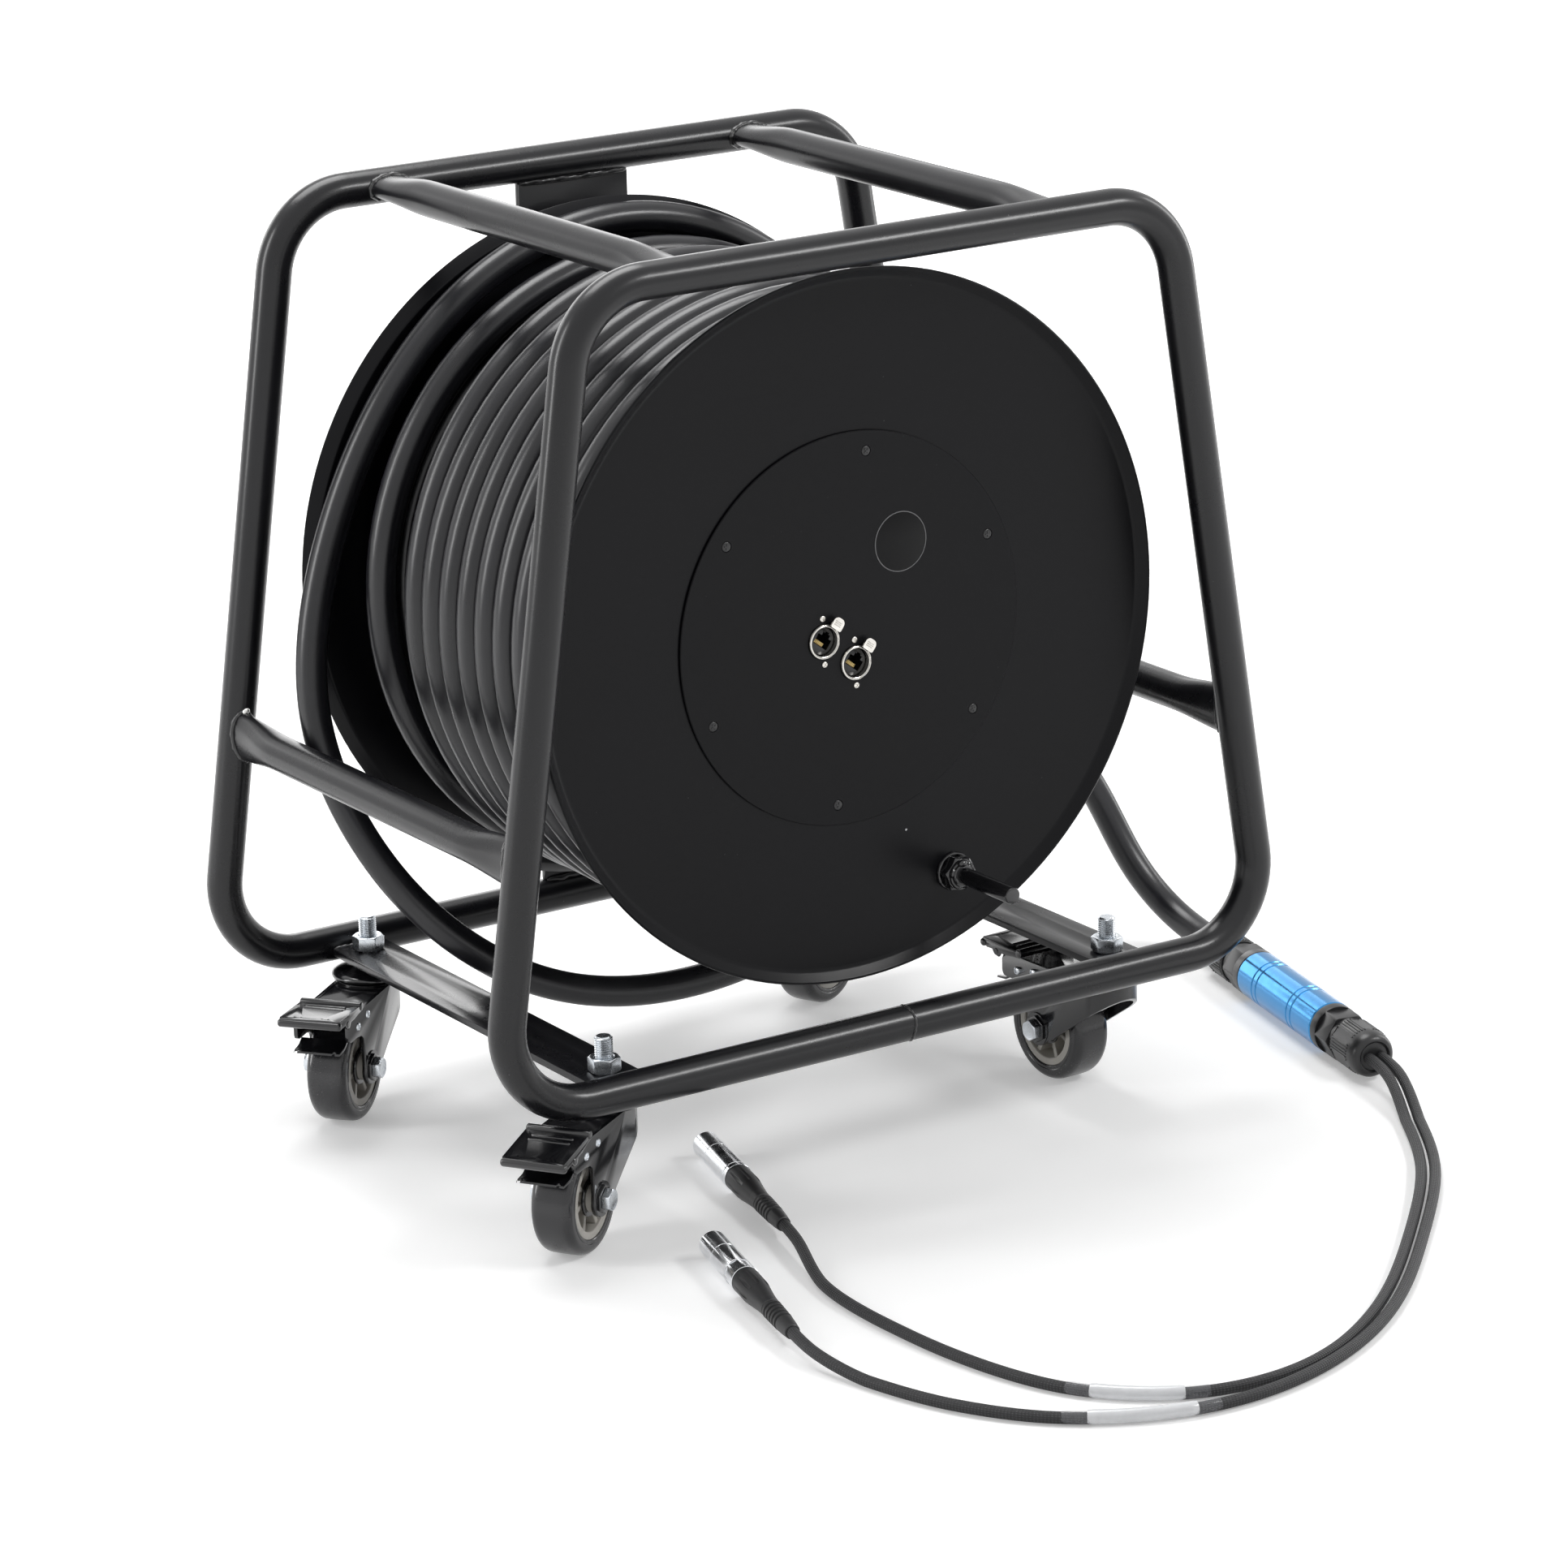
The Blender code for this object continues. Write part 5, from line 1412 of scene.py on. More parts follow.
    def shaft(self) -> None:
        """The standing shaft with its collar, and the nut at its end."""
        profile = mm(
            0, 198.65, 20, 198.65, 20, 177.6, 19.4, 177, 13, 168.8, 12, 168.8, 12, -53, 11, -54.4,
            0, -54.4,
        )
        piece = Workpiece.lathe("spindle_turned", profile, 64).moved(LAYOUT.on_shaft())
        piece.dressed(Finish.STEEL, "steel", "frame", "spindle")
        for name, finish in (("spindle_nut", Finish.ZINC), ("drum_barrel", Finish.COAT)):
            bpy.data.objects[name].material_slots[0].material = finish.mixed()

    def glint_speck(self) -> None:
        """A pale speck on the front flange: a painted highlight, a white dot for a small glint there."""
        place = (0.04, self.front_out - 0.0001, LAYOUT.shaft - 0.143)
        piece = Workpiece.ball("paint_speck", place, (0.0009, 0.0003, 0.0007), 2).smooth(60.0)
        # The white finish here is a painted highlight, not paint on the flange.
        piece.dressed(Finish.WHITE, "black_coat", self.body)

    def build(self, sockets: Sequence["Socket"]) -> None:
        """Make the whole drum."""
        self.flange("front_flange", -1.0, self.front_in, self.front_out, self.opening)
        self.flange("rear_flange", 1.0, self.rear_in, self.rear_out, 0.0126)
        self.panel(sockets)
        self.disc()
        self.crank()
        self.rear_hub()
        self.shaft()
        self.glint_speck()
        LOG.info("drum: two flanges, panel, crank peg")


@dataclass
class Socket:
    """One data socket: plated ring, keyed black insert, contacts, tab and screws."""

    drum: Drum
    index: int
    across: float
    rise: float = -0.0168
    radius: float = 0.0115
    bore: float = 0.0097
    tab_rise: float = 0.0142

    @property
    def stand(self) -> Matrix:
        """The socket's place on the panel."""
        return self.drum.on_panel(self.across, self.rise)

    def ring(self) -> None:
        """The stepped, plated ring that stands proud of the panel."""
        r, b = self.radius, self.bore
        profile = [
            (b, -0.019), (r, -0.019), (r, 0.0013), (r - 0.0003, 0.0019), (r - 0.0009, 0.0022),
            (b + 0.0007, 0.0022), (b + 0.0004, 0.0017), (b + 0.0001, 0.0015), (b, 0.0008),
        ]
        piece = Workpiece.lathe("socket_ring_%d" % self.index, profile, 80, 24.0)
        piece.moved(self.stand)
        piece.dressed(Finish.NICKEL, "nickel", "drum", "socket_shell_%d" % self.index)

    def insert(self) -> None:
        """The domed black insert with the keyed port sunk into it."""
        face = -0.001
        profile = [(0.0, -0.0185), (self.bore - 0.0001, -0.0185), (self.bore - 0.0001, face - 0.0022),
                   (self.bore - 0.0008, face - 0.0012), (0.0062, face), (0.0, face + 0.0002)]
        piece = Workpiece.lathe("socket_insert_%d" % self.index, profile, 64, 28.0)
        piece.cut(Workpiece.box("port", (0, -0.0003, face - 0.0066), (0.0118, 0.007, 0.015)))
        piece.cut(Workpiece.box("key", (0, 0.004, face - 0.0066), (0.0062, 0.0032, 0.015)))
        piece.cut(Workpiece.box("latch", (0, 0.0058, face - 0.0066), (0.0032, 0.002, 0.015)))
        piece.eased(0.00015, 1).smooth(28.0)
        piece.moved(self.stand)
        piece.dressed(Finish.INSERT, "panel_black", "drum")
        pin = Workpiece.box("pin", (0, 0, 0), (0.00042, 0.0024, 0.008))
        draw = {"value": (0.0, 0.001, 0.0012)}
        pin.worked(lambda c, n: n.z > 0.9, bpy.ops.mesh.extrude_region_move, TRANSFORM_OT_translate=draw)
        pin.eased(0.00008, 1)
        pins = [
            pin.again("pin_%d" % k, shifted((k - 3.5) * 0.00102, -0.0027, face - 0.0085))
            for k in range(8)
        ]
        pin.drop()
        pins[0].joined(pins[1:])
        pins[0].obj.name = "socket_contacts_%d" % self.index
        pins[0].moved(self.stand)
        pins[0].dressed(Finish.GOLD, "nickel", "drum")

    def tab(self) -> None:
        """The plated release tab: rounded thumb plate, ribs and its leg."""
        rise = self.tab_rise
        name = "socket_tab_%d" % self.index
        plate = Workpiece.box(name + "_plate", (0, rise, 0.0044), (0.009, 0.008, 0.0016))
        plate.rounded_edges(lambda c, d: abs(d.z) > 0.9 and c.y > rise, 0.0034, 6)
        plate.rounded_edges(lambda c, d: abs(d.z) > 0.9 and c.y < rise - 0.0035, 0.0012, 4)
        plate.drawn_in(lambda c, n: n.z > 0.9, 0.0009, 0.00025)
        plate.eased(0.00022, 2)
        ribs = [
            Workpiece.rod("rib", (-0.0024, rise + y, 0.005), (0.0024, rise + y, 0.005), 0.00035, 10)
            for y in (-0.0012, 0.0, 0.0012)
        ]
        leg = Workpiece.box("leg", (0, rise, 0.0006), (0.005, 0.0024, 0.007)).eased(0.0002, 1)
        plate.joined(ribs + [leg])
        plate.smooth(30.0).moved(self.stand)
        plate.dressed(Finish.NICKEL, "nickel", "tab_%d" % self.index, name)

    def screws(self) -> None:
        """The two small plated screws beside the ring."""
        screw = self.drum.cross_screw("screw", 0.0021, 0.0012, 0.0004)
        for k, (u, v) in enumerate(((-0.0095, 0.012), (0.0095, -0.012))):
            stand = self.drum.on_panel(self.across + u, self.rise + v) @ spun(0.5 + k, "Z")
            twin = screw.again("socket_screw_%d_%d" % (self.index, k + 1), stand)
            twin.dressed(Finish.NICKEL, "nickel", "drum")
        screw.drop()

    def build(self) -> None:
        """Make the whole socket."""
        self.ring()
        self.insert()
        self.tab()
        self.screws()
        LOG.info("socket %d", self.index)


@dataclass
class Winding:
    """The snake wound on the drum: the outer turns and the layer under them."""

    cable: float = 0.021
    radius: float = 0.206
    pitch: float = 0.02275
    turns: int = 9
    first: float = -0.129
    start: float = -0.25
    cross_from: float = 0.63
    cross_to: float = 0.75
    last_step: float = 0.051
    end_step: float = 0.004
    end_turns: float = 0.5
    ramp_turns: float = 1.0 / 12.0
    ramp_rise: float = 0.0225
    ramp_power: float = 1.6
    under_radius: float = 0.1834
    under_pitch: float = 0.0214
    under_first: float = -0.1288
    under_turns: float = 12.6
    body: str = "drum"

    @staticmethod
    def ease(value: float) -> float:
        """A soft step from 0 to 1."""
        value = min(max(value, 0.0), 1.0)
        return value * value * (3 - 2 * value)

    def place(self, turns: float) -> Vector:
        """Where the cable's middle is after some turns, as the solid has it."""
        whole = math.floor(turns)
        cross = self.ease((turns - whole - self.cross_from) / (self.cross_to - self.cross_from))
        y = self.first + self.pitch * (whole + cross)
        last = self.turns - 1
        if turns > last:
            y = self.first + self.pitch * last + self.last_step * self.ease(turns - last)
        if turns > last + 1:
            y += self.end_step * self.ease((turns - last - 1) / self.end_turns)
        end = last + 1 + self.end_turns
        ramp = max((turns - (end - self.ramp_turns)) / self.ramp_turns, 0.0)
        radius = self.radius + self.ramp_rise * ramp ** self.ramp_power
        wave = 0.0003 * math.sin(5.3 * turns) + 0.0002 * math.sin(17.0 * turns + 1.0)
        return LAYOUT.round_shaft(radius + wave * (ramp <= 0.0), math.pi - 2 * math.pi * turns, y)

    def end(self) -> Tuple[Vector, Vector]:
        """Where the winding ends, and the way the cable points there."""
        turns = self.turns + self.end_turns
        here = self.place(turns)
        return here, (here - self.place(turns - 0.01)).normalized()

    def build(self) -> None:
        """Wind both layers."""
        last = self.turns + self.end_turns
        here, heading = self.end()
        points = []
        for k in range(int((last - self.start) * 96)):
            turns = self.start + k / 96
            if (last - turns) * 2 * math.pi * self.radius < self.cable * 2.2:
                break
            points.append(self.place(turns))
        straight = here - heading * self.cable * 1.15
        points = points[:-3] + [tuple(p) for p in smooth_route([points[-4], straight, here], 0.008)[1:]]
        outer = swept("snake_turns", points, self.cable / 2, 24)
        outer.dressed(Finish.JACKET, "cable", self.body, "cable_winding")
        under = []
        for k in range(int(self.under_turns * 64)):
            turns = k / 64
            y = self.under_first + self.under_pitch * turns
            under.append(LAYOUT.round_shaft(self.under_radius, 1.0 + 2 * math.pi * turns, y))
        inner = swept("snake_turns_under", under, self.cable / 2, 16)
        inner.dressed(Finish.JACKET, "cable", self.body, "cable_core")
        LOG.info("winding: %.1f outer turns over %.1f", last - self.start, self.under_turns)


@dataclass
class LooseTurn:
    """The snake's free run: round the drum, down under it and out to the floor."""

    winding: Winding
    cable: float = 0.021
    step: float = 0.042
    gap: float = 0.0003
    tucked: float = 0.06
    turn: Tuple[Tuple[float, float, float], ...] = (
        (-15, 0.2455, 0.104), (-30, 0.26, 0.094), (-45, 0.272, 0.078), (-60, 0.2804, 0.06),
        (-75, 0.2828, 0.046), (-90, 0.2849, 0.039), (-105, 0.2897, 0.037), (-120, 0.2936, 0.039),
        (-135, 0.2915, 0.06), (-150, 0.279, 0.095), (-163, 0.2605, 0.124), (-175, 0.2445, 0.132),
        (-190, 0.227, 0.1385), (-208, 0.2185, 0.139), (-240, 0.22, 0.139),
        (-270, 0.224, 0.139), (-300, 0.2225, 0.1385), (-330, 0.222, 0.138),
        (-360, 0.2285, 0.1365),
    )
    drop: Tuple[Point, ...] = (
        (0.242, 0.135, 0.168), (0.313, 0.14, 0.094), (0.383, 0.1326, 0.022),
        (0.4135, 0.086, -0.065),
    )

    def route(self, end: Vector, way: Vector) -> List[Point]:
        """The given points of the run, as the solid has them.

        Args:
            end: where the splice starts.
            way: the splice's direction.

        Returns:
            The points in order.
        """
        here, heading = self.winding.end()
        start = here + heading * self.gap
        points = [start, start + heading * self.cable, start + heading * self.cable * 1.4]
        points += [LAYOUT.round_shaft(r, math.radians(a), y) for a, r, y in self.turn]
        points += [Vector((x, LAYOUT.middle + y, LAYOUT.rail + z)) for x, y, z in self.drop]
        end = end - way * self.gap
        points += [end - way * self.cable * 1.4, end - way * self.cable, end]
        return [tuple(p) for p in points]

    def build(self, splice: "Splice") -> None:
        route = self.route(*splice.frame())
        coarse = smooth_route(route[1:-1], self.step)
        inside = Vector(route[-1]) + splice.frame()[1] * self.tucked
        fine = np.concatenate([[route[0]], smooth_route(coarse, 0.007), [route[-1]], [inside]])
        piece = swept("snake_loose_turn", fine, self.cable / 2, 24)
        piece.dressed(Finish.JACKET, "cable", "frame", "cable_loose_turn")
        [tuple(p) for p in fine[:-2:4]] + [route[-1], tuple(inside)]


@dataclass
class Splice:
    """The blue tube on the floor with a cable gland screwed into each end."""

    start: Tuple[float, float] = (0.4145, 0.0125)
    way: Tuple[float, float] = (-0.227, -0.974)
    radius: float = 0.0175
    gland: float = 0.068
    tube: float = 0.12
    gap: float = 0.0003
    near: List[bpy.types.Object] = field(default_factory=list)
    far: List[bpy.types.Object] = field(default_factory=list)

    def frame(self) -> Tuple[Vector, Vector]:
        """Start and direction of the splice."""
        way = Vector((*self.way, 0.0)).normalized()
        return Vector((self.start[0], LAYOUT.middle + self.start[1], self.radius + self.gap)), way

    def out(self, run: float) -> Matrix:
        """Sets local Z along the splice, at a distance from its start."""
        start, way = self.frame()
        return Matrix.Translation(start + way * run) @ turn_to(way)

    def gland_body(self, name: str) -> Workpiece:
        """A cable gland about local Z with its domed mouth at zero height.

        Args:
            name: the piece's name.

        Returns:
            The gland, at the origin.
        """
        long = self.gland - self.gap
        nut = mm(
            10.4, 0.6, 11.2, 0, 12.6, 0.4, 14.3, 2, 15.5, 4.6, 16.1, 8.5, 16.3, 12, 16.3, 36,
            15.7, 37.2, 10.4, 37.2,
        )
        cap = Workpiece.lathe(name, nut, 96, 30.0)

        def is_rib(centre: Vector, normal: Vector) -> bool:
            """Every other face of the six ribbed parts of the grip."""
            turn = math.degrees(math.atan2(centre.y, centre.x)) % 360.0
            ribbed = 0.0125 < centre.z < 0.0355 and 0.28 < turn % 60.0 / 60.0 < 0.97
            return ribbed and abs(normal.z) < 0.1 and int(turn / 3.75) % 2 == 0

        cap.worked(is_rib, bpy.ops.mesh.inset, thickness=0.00018, depth=0.00055, use_individual=True)
        for k in range(6):
            a = math.radians(60.0 * k + 8.0)
            centre = (0.0254 * math.cos(a), 0.0254 * math.sin(a), 0.0246)
            flat = Workpiece.box("flat", (0, 0, 0), (0.019, 0.011, 0.0222))
            flat.moved(Matrix.Translation(centre) @ spun(a, "Z"))
            cap.cut(flat)
        neck = Workpiece.lathe("neck", mm(0, 36.5, 14.9, 36.5, 14.9, 43, 0, 43), 64)
        hexa = Workpiece.rod("hexa", (0, 0, 0.042), (0, 0, 0.06), 0.0174, 6)
        dome = mm(0, 41, 16.2, 41, 17.6, 43.6, 17.6, 59, 16.6, 60, 0, 60)
        hexa.cut(Workpiece.lathe("chamfer", dome, 64), "INTERSECT").eased(0.0004, 2)
        seat = Workpiece.lathe(
            "seat", [(0.0, 0.0595), (0.0172, 0.0595), (0.0174, 0.0602), (0.0174, long - 0.0006),
                     (0.017, long), (0.0, long)], 96)
        return cap.joined([neck, hexa, seat]).smooth(32.0)

    def build(self) -> None:
        """Make the tube, the two glands and their rubber seals."""
        gland = self.gland_body("gland")
        end = self.out(2 * self.gland + self.tube) @ spun(math.pi, "X")
        ends = (("in", self.out(0.0), self.near), ("out", end, self.far))
        for word, stand, group in ends:
            piece = gland.again("gland_%s_body" % word, stand @ spun(math.radians(30.0), "Z"))
            piece.dressed(Finish.NYLON, "gland_black", "frame", "splice_gland_" + word)
            group.append(piece.obj)
        gland.drop()
        long = self.tube - self.gap
        profile = [(0.0, 0.0), (0.0168, 0.0), (self.radius, 0.0008)]
        for mark in (0.2, 0.255, 0.68, 0.735):
            z = mark * long
            profile += [
                (self.radius, z - 0.0011), (self.radius - 0.0006, z - 0.0006),
                (self.radius - 0.0006, z + 0.0006), (self.radius, z + 0.0011),
            ]
        profile += [(self.radius, long - 0.0008), (0.0168, long), (0.0, long)]
        body = Workpiece.lathe("splice_tube", profile, 128, 20.0).moved(self.out(self.gland))
        body.dressed(Finish.BLUE, "blue_anodised", "frame", "splice_body")
        self.near.append(body.obj)
        lips = mm(0, 1, 6, 0.8, 9.4, 1, 10.4, 1.6, 10.4, 20, 0, 20)
        for word, stand, group in ends:
            seal = Workpiece.lathe("seal_" + word, lips, 64).moved(stand)
            seal.dressed(Finish.BOOT, "gland_black", "frame")
            group.append(seal.obj)
        LOG.info("splice: tube and two glands")


@dataclass
class Tail:
    """One braided network tail with its label sleeve and metal plug."""

    word: str
    side: float
    points: Tuple[Tuple[float, float], ...]
    plug_end: Tuple[float, float]
    plug_way: Tuple[float, float]
    sleeve: Tuple[float, float]
    bright_collar: bool
    cable: float = 0.0075
    spread: float = 0.0044
    step: float = 0.0225
    gap: float = 0.0003
    tucked: float = 0.06
    label_inset: float = 0.015
    label_radius: float = 0.0045
    shrink_radius: float = 0.0042
    shell: float = 0.0095
    shell_long: float = 0.067
    boot_long: float = 0.05
    bush_long: float = 0.04
    body: str = "frame"

    def route(self, splice: Splice) -> List[Point]:
        """The given points of the tail, as the solid has them."""
        start, way = splice.frame()
        across = Vector((-way.y, way.x, 0.0))
        total = 2 * splice.gland + splice.tube
        first = start + way * total - across * self.spread * self.side
        route = [first, first + way * self.cable, first + way * self.cable * 1.6]
        low = self.cable / 2 + self.gap
        route += [Vector((x, LAYOUT.middle + y, low)) for x, y in self.points]
        last, plug_way = self.plug_frame()
        last = last - plug_way * self.gap
        route += [last - plug_way * self.cable * 1.6, last - plug_way * self.cable, last]
        return [tuple(p) for p in route]

    def plug_frame(self) -> Tuple[Vector, Vector]:
        """Where the plug's boot starts and the way the plug points."""
        way = Vector((*self.plug_way, 0.0)).normalized()
        return Vector((self.plug_end[0], LAYOUT.middle + self.plug_end[1], self.shell + self.gap)), way

    def at_plug(self, run: float) -> Matrix:
        """Sets local Z along the plug, at a distance from its boot's end."""
        start, way = self.plug_frame()
        return Matrix.Translation(start + way * run) @ turn_to(way) @ spun(0.35, "Z")

    def boot(self) -> Workpiece:
        """The ribbed boot and the ridged bushing behind the shell."""
        profile = mm(0, 0, 4.3, 0, 4.9, 0.6, 5.6, 8, 6, 15)
        for k in range(5):
            z = 0.0156 + 0.0048 * k
            r = 0.0062 + 0.0001 * k
            profile += [(r - 0.0015, z), (r - 0.0015, z + 0.0013), (r, z + 0.0018), (r + 0.0001, z + 0.004),
                        (r - 0.001, z + 0.0044)]
        profile += mm(5.6, 40.2, 6.4, 41, 6.8, 49.5, 0, 49.5)
        ribbed = Workpiece.lathe("boot", profile, 48, 30.0)
        rows = mm(6.8, 49, 7.1, 53, 8.3, 64, 9.1, 70, 9.1, 89.2)
        bush = Workpiece.lathe("bush", [(0.0, 0.049)] + rows + [(0.0088, 0.0896), (0.0, 0.0896)], 48, 30.0)
        for k in range(8):
            a = 2 * math.pi * (k + 0.5) / 8
            slot = Workpiece.box("slot", (0, 0, 0), (0.0016, 0.0026, 0.018)).eased(0.0007, 2)
            bush.cut(slot.moved(spun(a, "Z") @ shifted(0.0092, 0, 0.073) @ spun(0.07, "Y")))
        bush.smooth(30.0)
        return ribbed.joined([bush]).moved(self.at_plug(0.0))

    def metal(self) -> Workpiece:
        """The open metal shell with its seam ring, and eight flats on the bright collar."""
        long, r = self.shell_long, self.shell
        profile = [(0.0, 0.0), (r - 0.0002, 0.0), (r, 0.0003)]
        if self.bright_collar:
            profile += [(r, 0.0145), (r - 0.0002, 0.015), (r - 0.0002, 0.0158), (r - 0.0003, 0.0162)]
        else:
            profile += [(r, 0.004), (r - 0.0003, 0.0044), (r - 0.0003, 0.005), (r, 0.0054)]
        profile += [
            (r - 0.0003, 0.042), (r - 0.0005, 0.0422), (r - 0.0005, 0.0428), (r - 0.0003, 0.043),
            (r - 0.0003, long - 0.0006), (r - 0.0006, long), (0.0083, long), (0.008, long - 0.0005),
            (0.008, long - 0.016), (0.0, long - 0.016),
        ]
        shell = Workpiece.lathe("shell", profile, 96, 24.0)
        if self.bright_collar:
            for k in range(8):
                a = 2 * math.pi * k / 8
                flat = Workpiece.box("flat", (0, 0, 0), (0.004, 0.012, 0.012))
                flat.moved(spun(a, "Z") @ shifted(r + 0.0015, 0, 0.0075))
                shell.cut(flat)
        return shell.smooth(24.0).moved(self.at_plug(self.boot_long + self.bush_long))

    def build(self, splice: Splice) -> None:
        route = self.route(splice)
        coarse = smooth_route(route[1:-1], self.step)
        inside = Vector(route[-1]) + self.plug_frame()[1] * self.tucked
        fine = np.concatenate([[route[0]], smooth_route(coarse, 0.004), [route[-1]], [inside]])
        fine[:, 2] = np.maximum(fine[:, 2], self.cable / 2 + self.gap)
        cord = swept("tail_%s_braid" % self.word, fine, self.cable / 2, 20)
        cord.dressed(Finish.BRAID, "tail_braid", self.body, "tail_" + self.word)
        run = run_of(fine)
        first, last = self.sleeve
        pieces = []
        for name, low, high, radius, finish in (
            ("label", first + self.label_inset, last - self.label_inset, self.label_radius, Finish.WHITE),
            ("shrink", first, last, self.shrink_radius, Finish.CLEAR),
        ):
            marks = np.linspace(low, high, 40)
            part = np.stack([np.interp(marks, run, fine[:, k]) for k in range(3)], axis=1)
            part[:, 2] += radius - self.cable / 2
            ends = np.minimum(np.arange(40), np.arange(40)[::-1])
            radii = radius - 0.00035 * np.clip(1.0 - ends / 2.0, 0.0, 1.0)
            sleeve = swept("tail_%s_%s" % (self.word, name), part, radii, 24)
            sleeve.dressed(finish, "tail_braid", self.body)
            pieces.append(sleeve.obj)
        boot = self.boot()
        boot.obj.name = "boot_%s_ribbed" % self.word
        boot.dressed(Finish.BOOT, "boot_black", self.body, "plug_boot_" + self.word)
        shell = self.metal()
        shell.obj.name = "shell_%s_open" % self.word
        shell.dressed(Finish.CHROME, "chrome", self.body, "plug_shell_" + self.word)
        profile = mm(0, 0, 7.2, 0, 7.2, 11, 6.6, 11.8, 0, 11.8)
        core = Workpiece.lathe("core", profile, 48)
        core.cut(Workpiece.box("key", (0, 0.0062, 0.009), (0.003, 0.003, 0.012)))
        core.cut(Workpiece.box("port", (0, -0.0006, 0.012), (0.0092, 0.006, 0.016)))
        mouth = self.boot_long + self.bush_long + self.shell_long
        core.eased(0.0002, 1).smooth(30.0).moved(self.at_plug(mouth - 0.0158))
        core.obj.name = "core_%s" % self.word
        core.dressed(Finish.INSERT, "boot_black", self.body)
        pieces += [boot.obj, shell.obj, core.obj]
        if self.side > 0:
            pieces += splice.far
        [tuple(p) for p in fine[:-2:4]] + [route[-1], tuple(inside)]
        LOG.info("tail %s: %.3f m", self.word, run[-1])


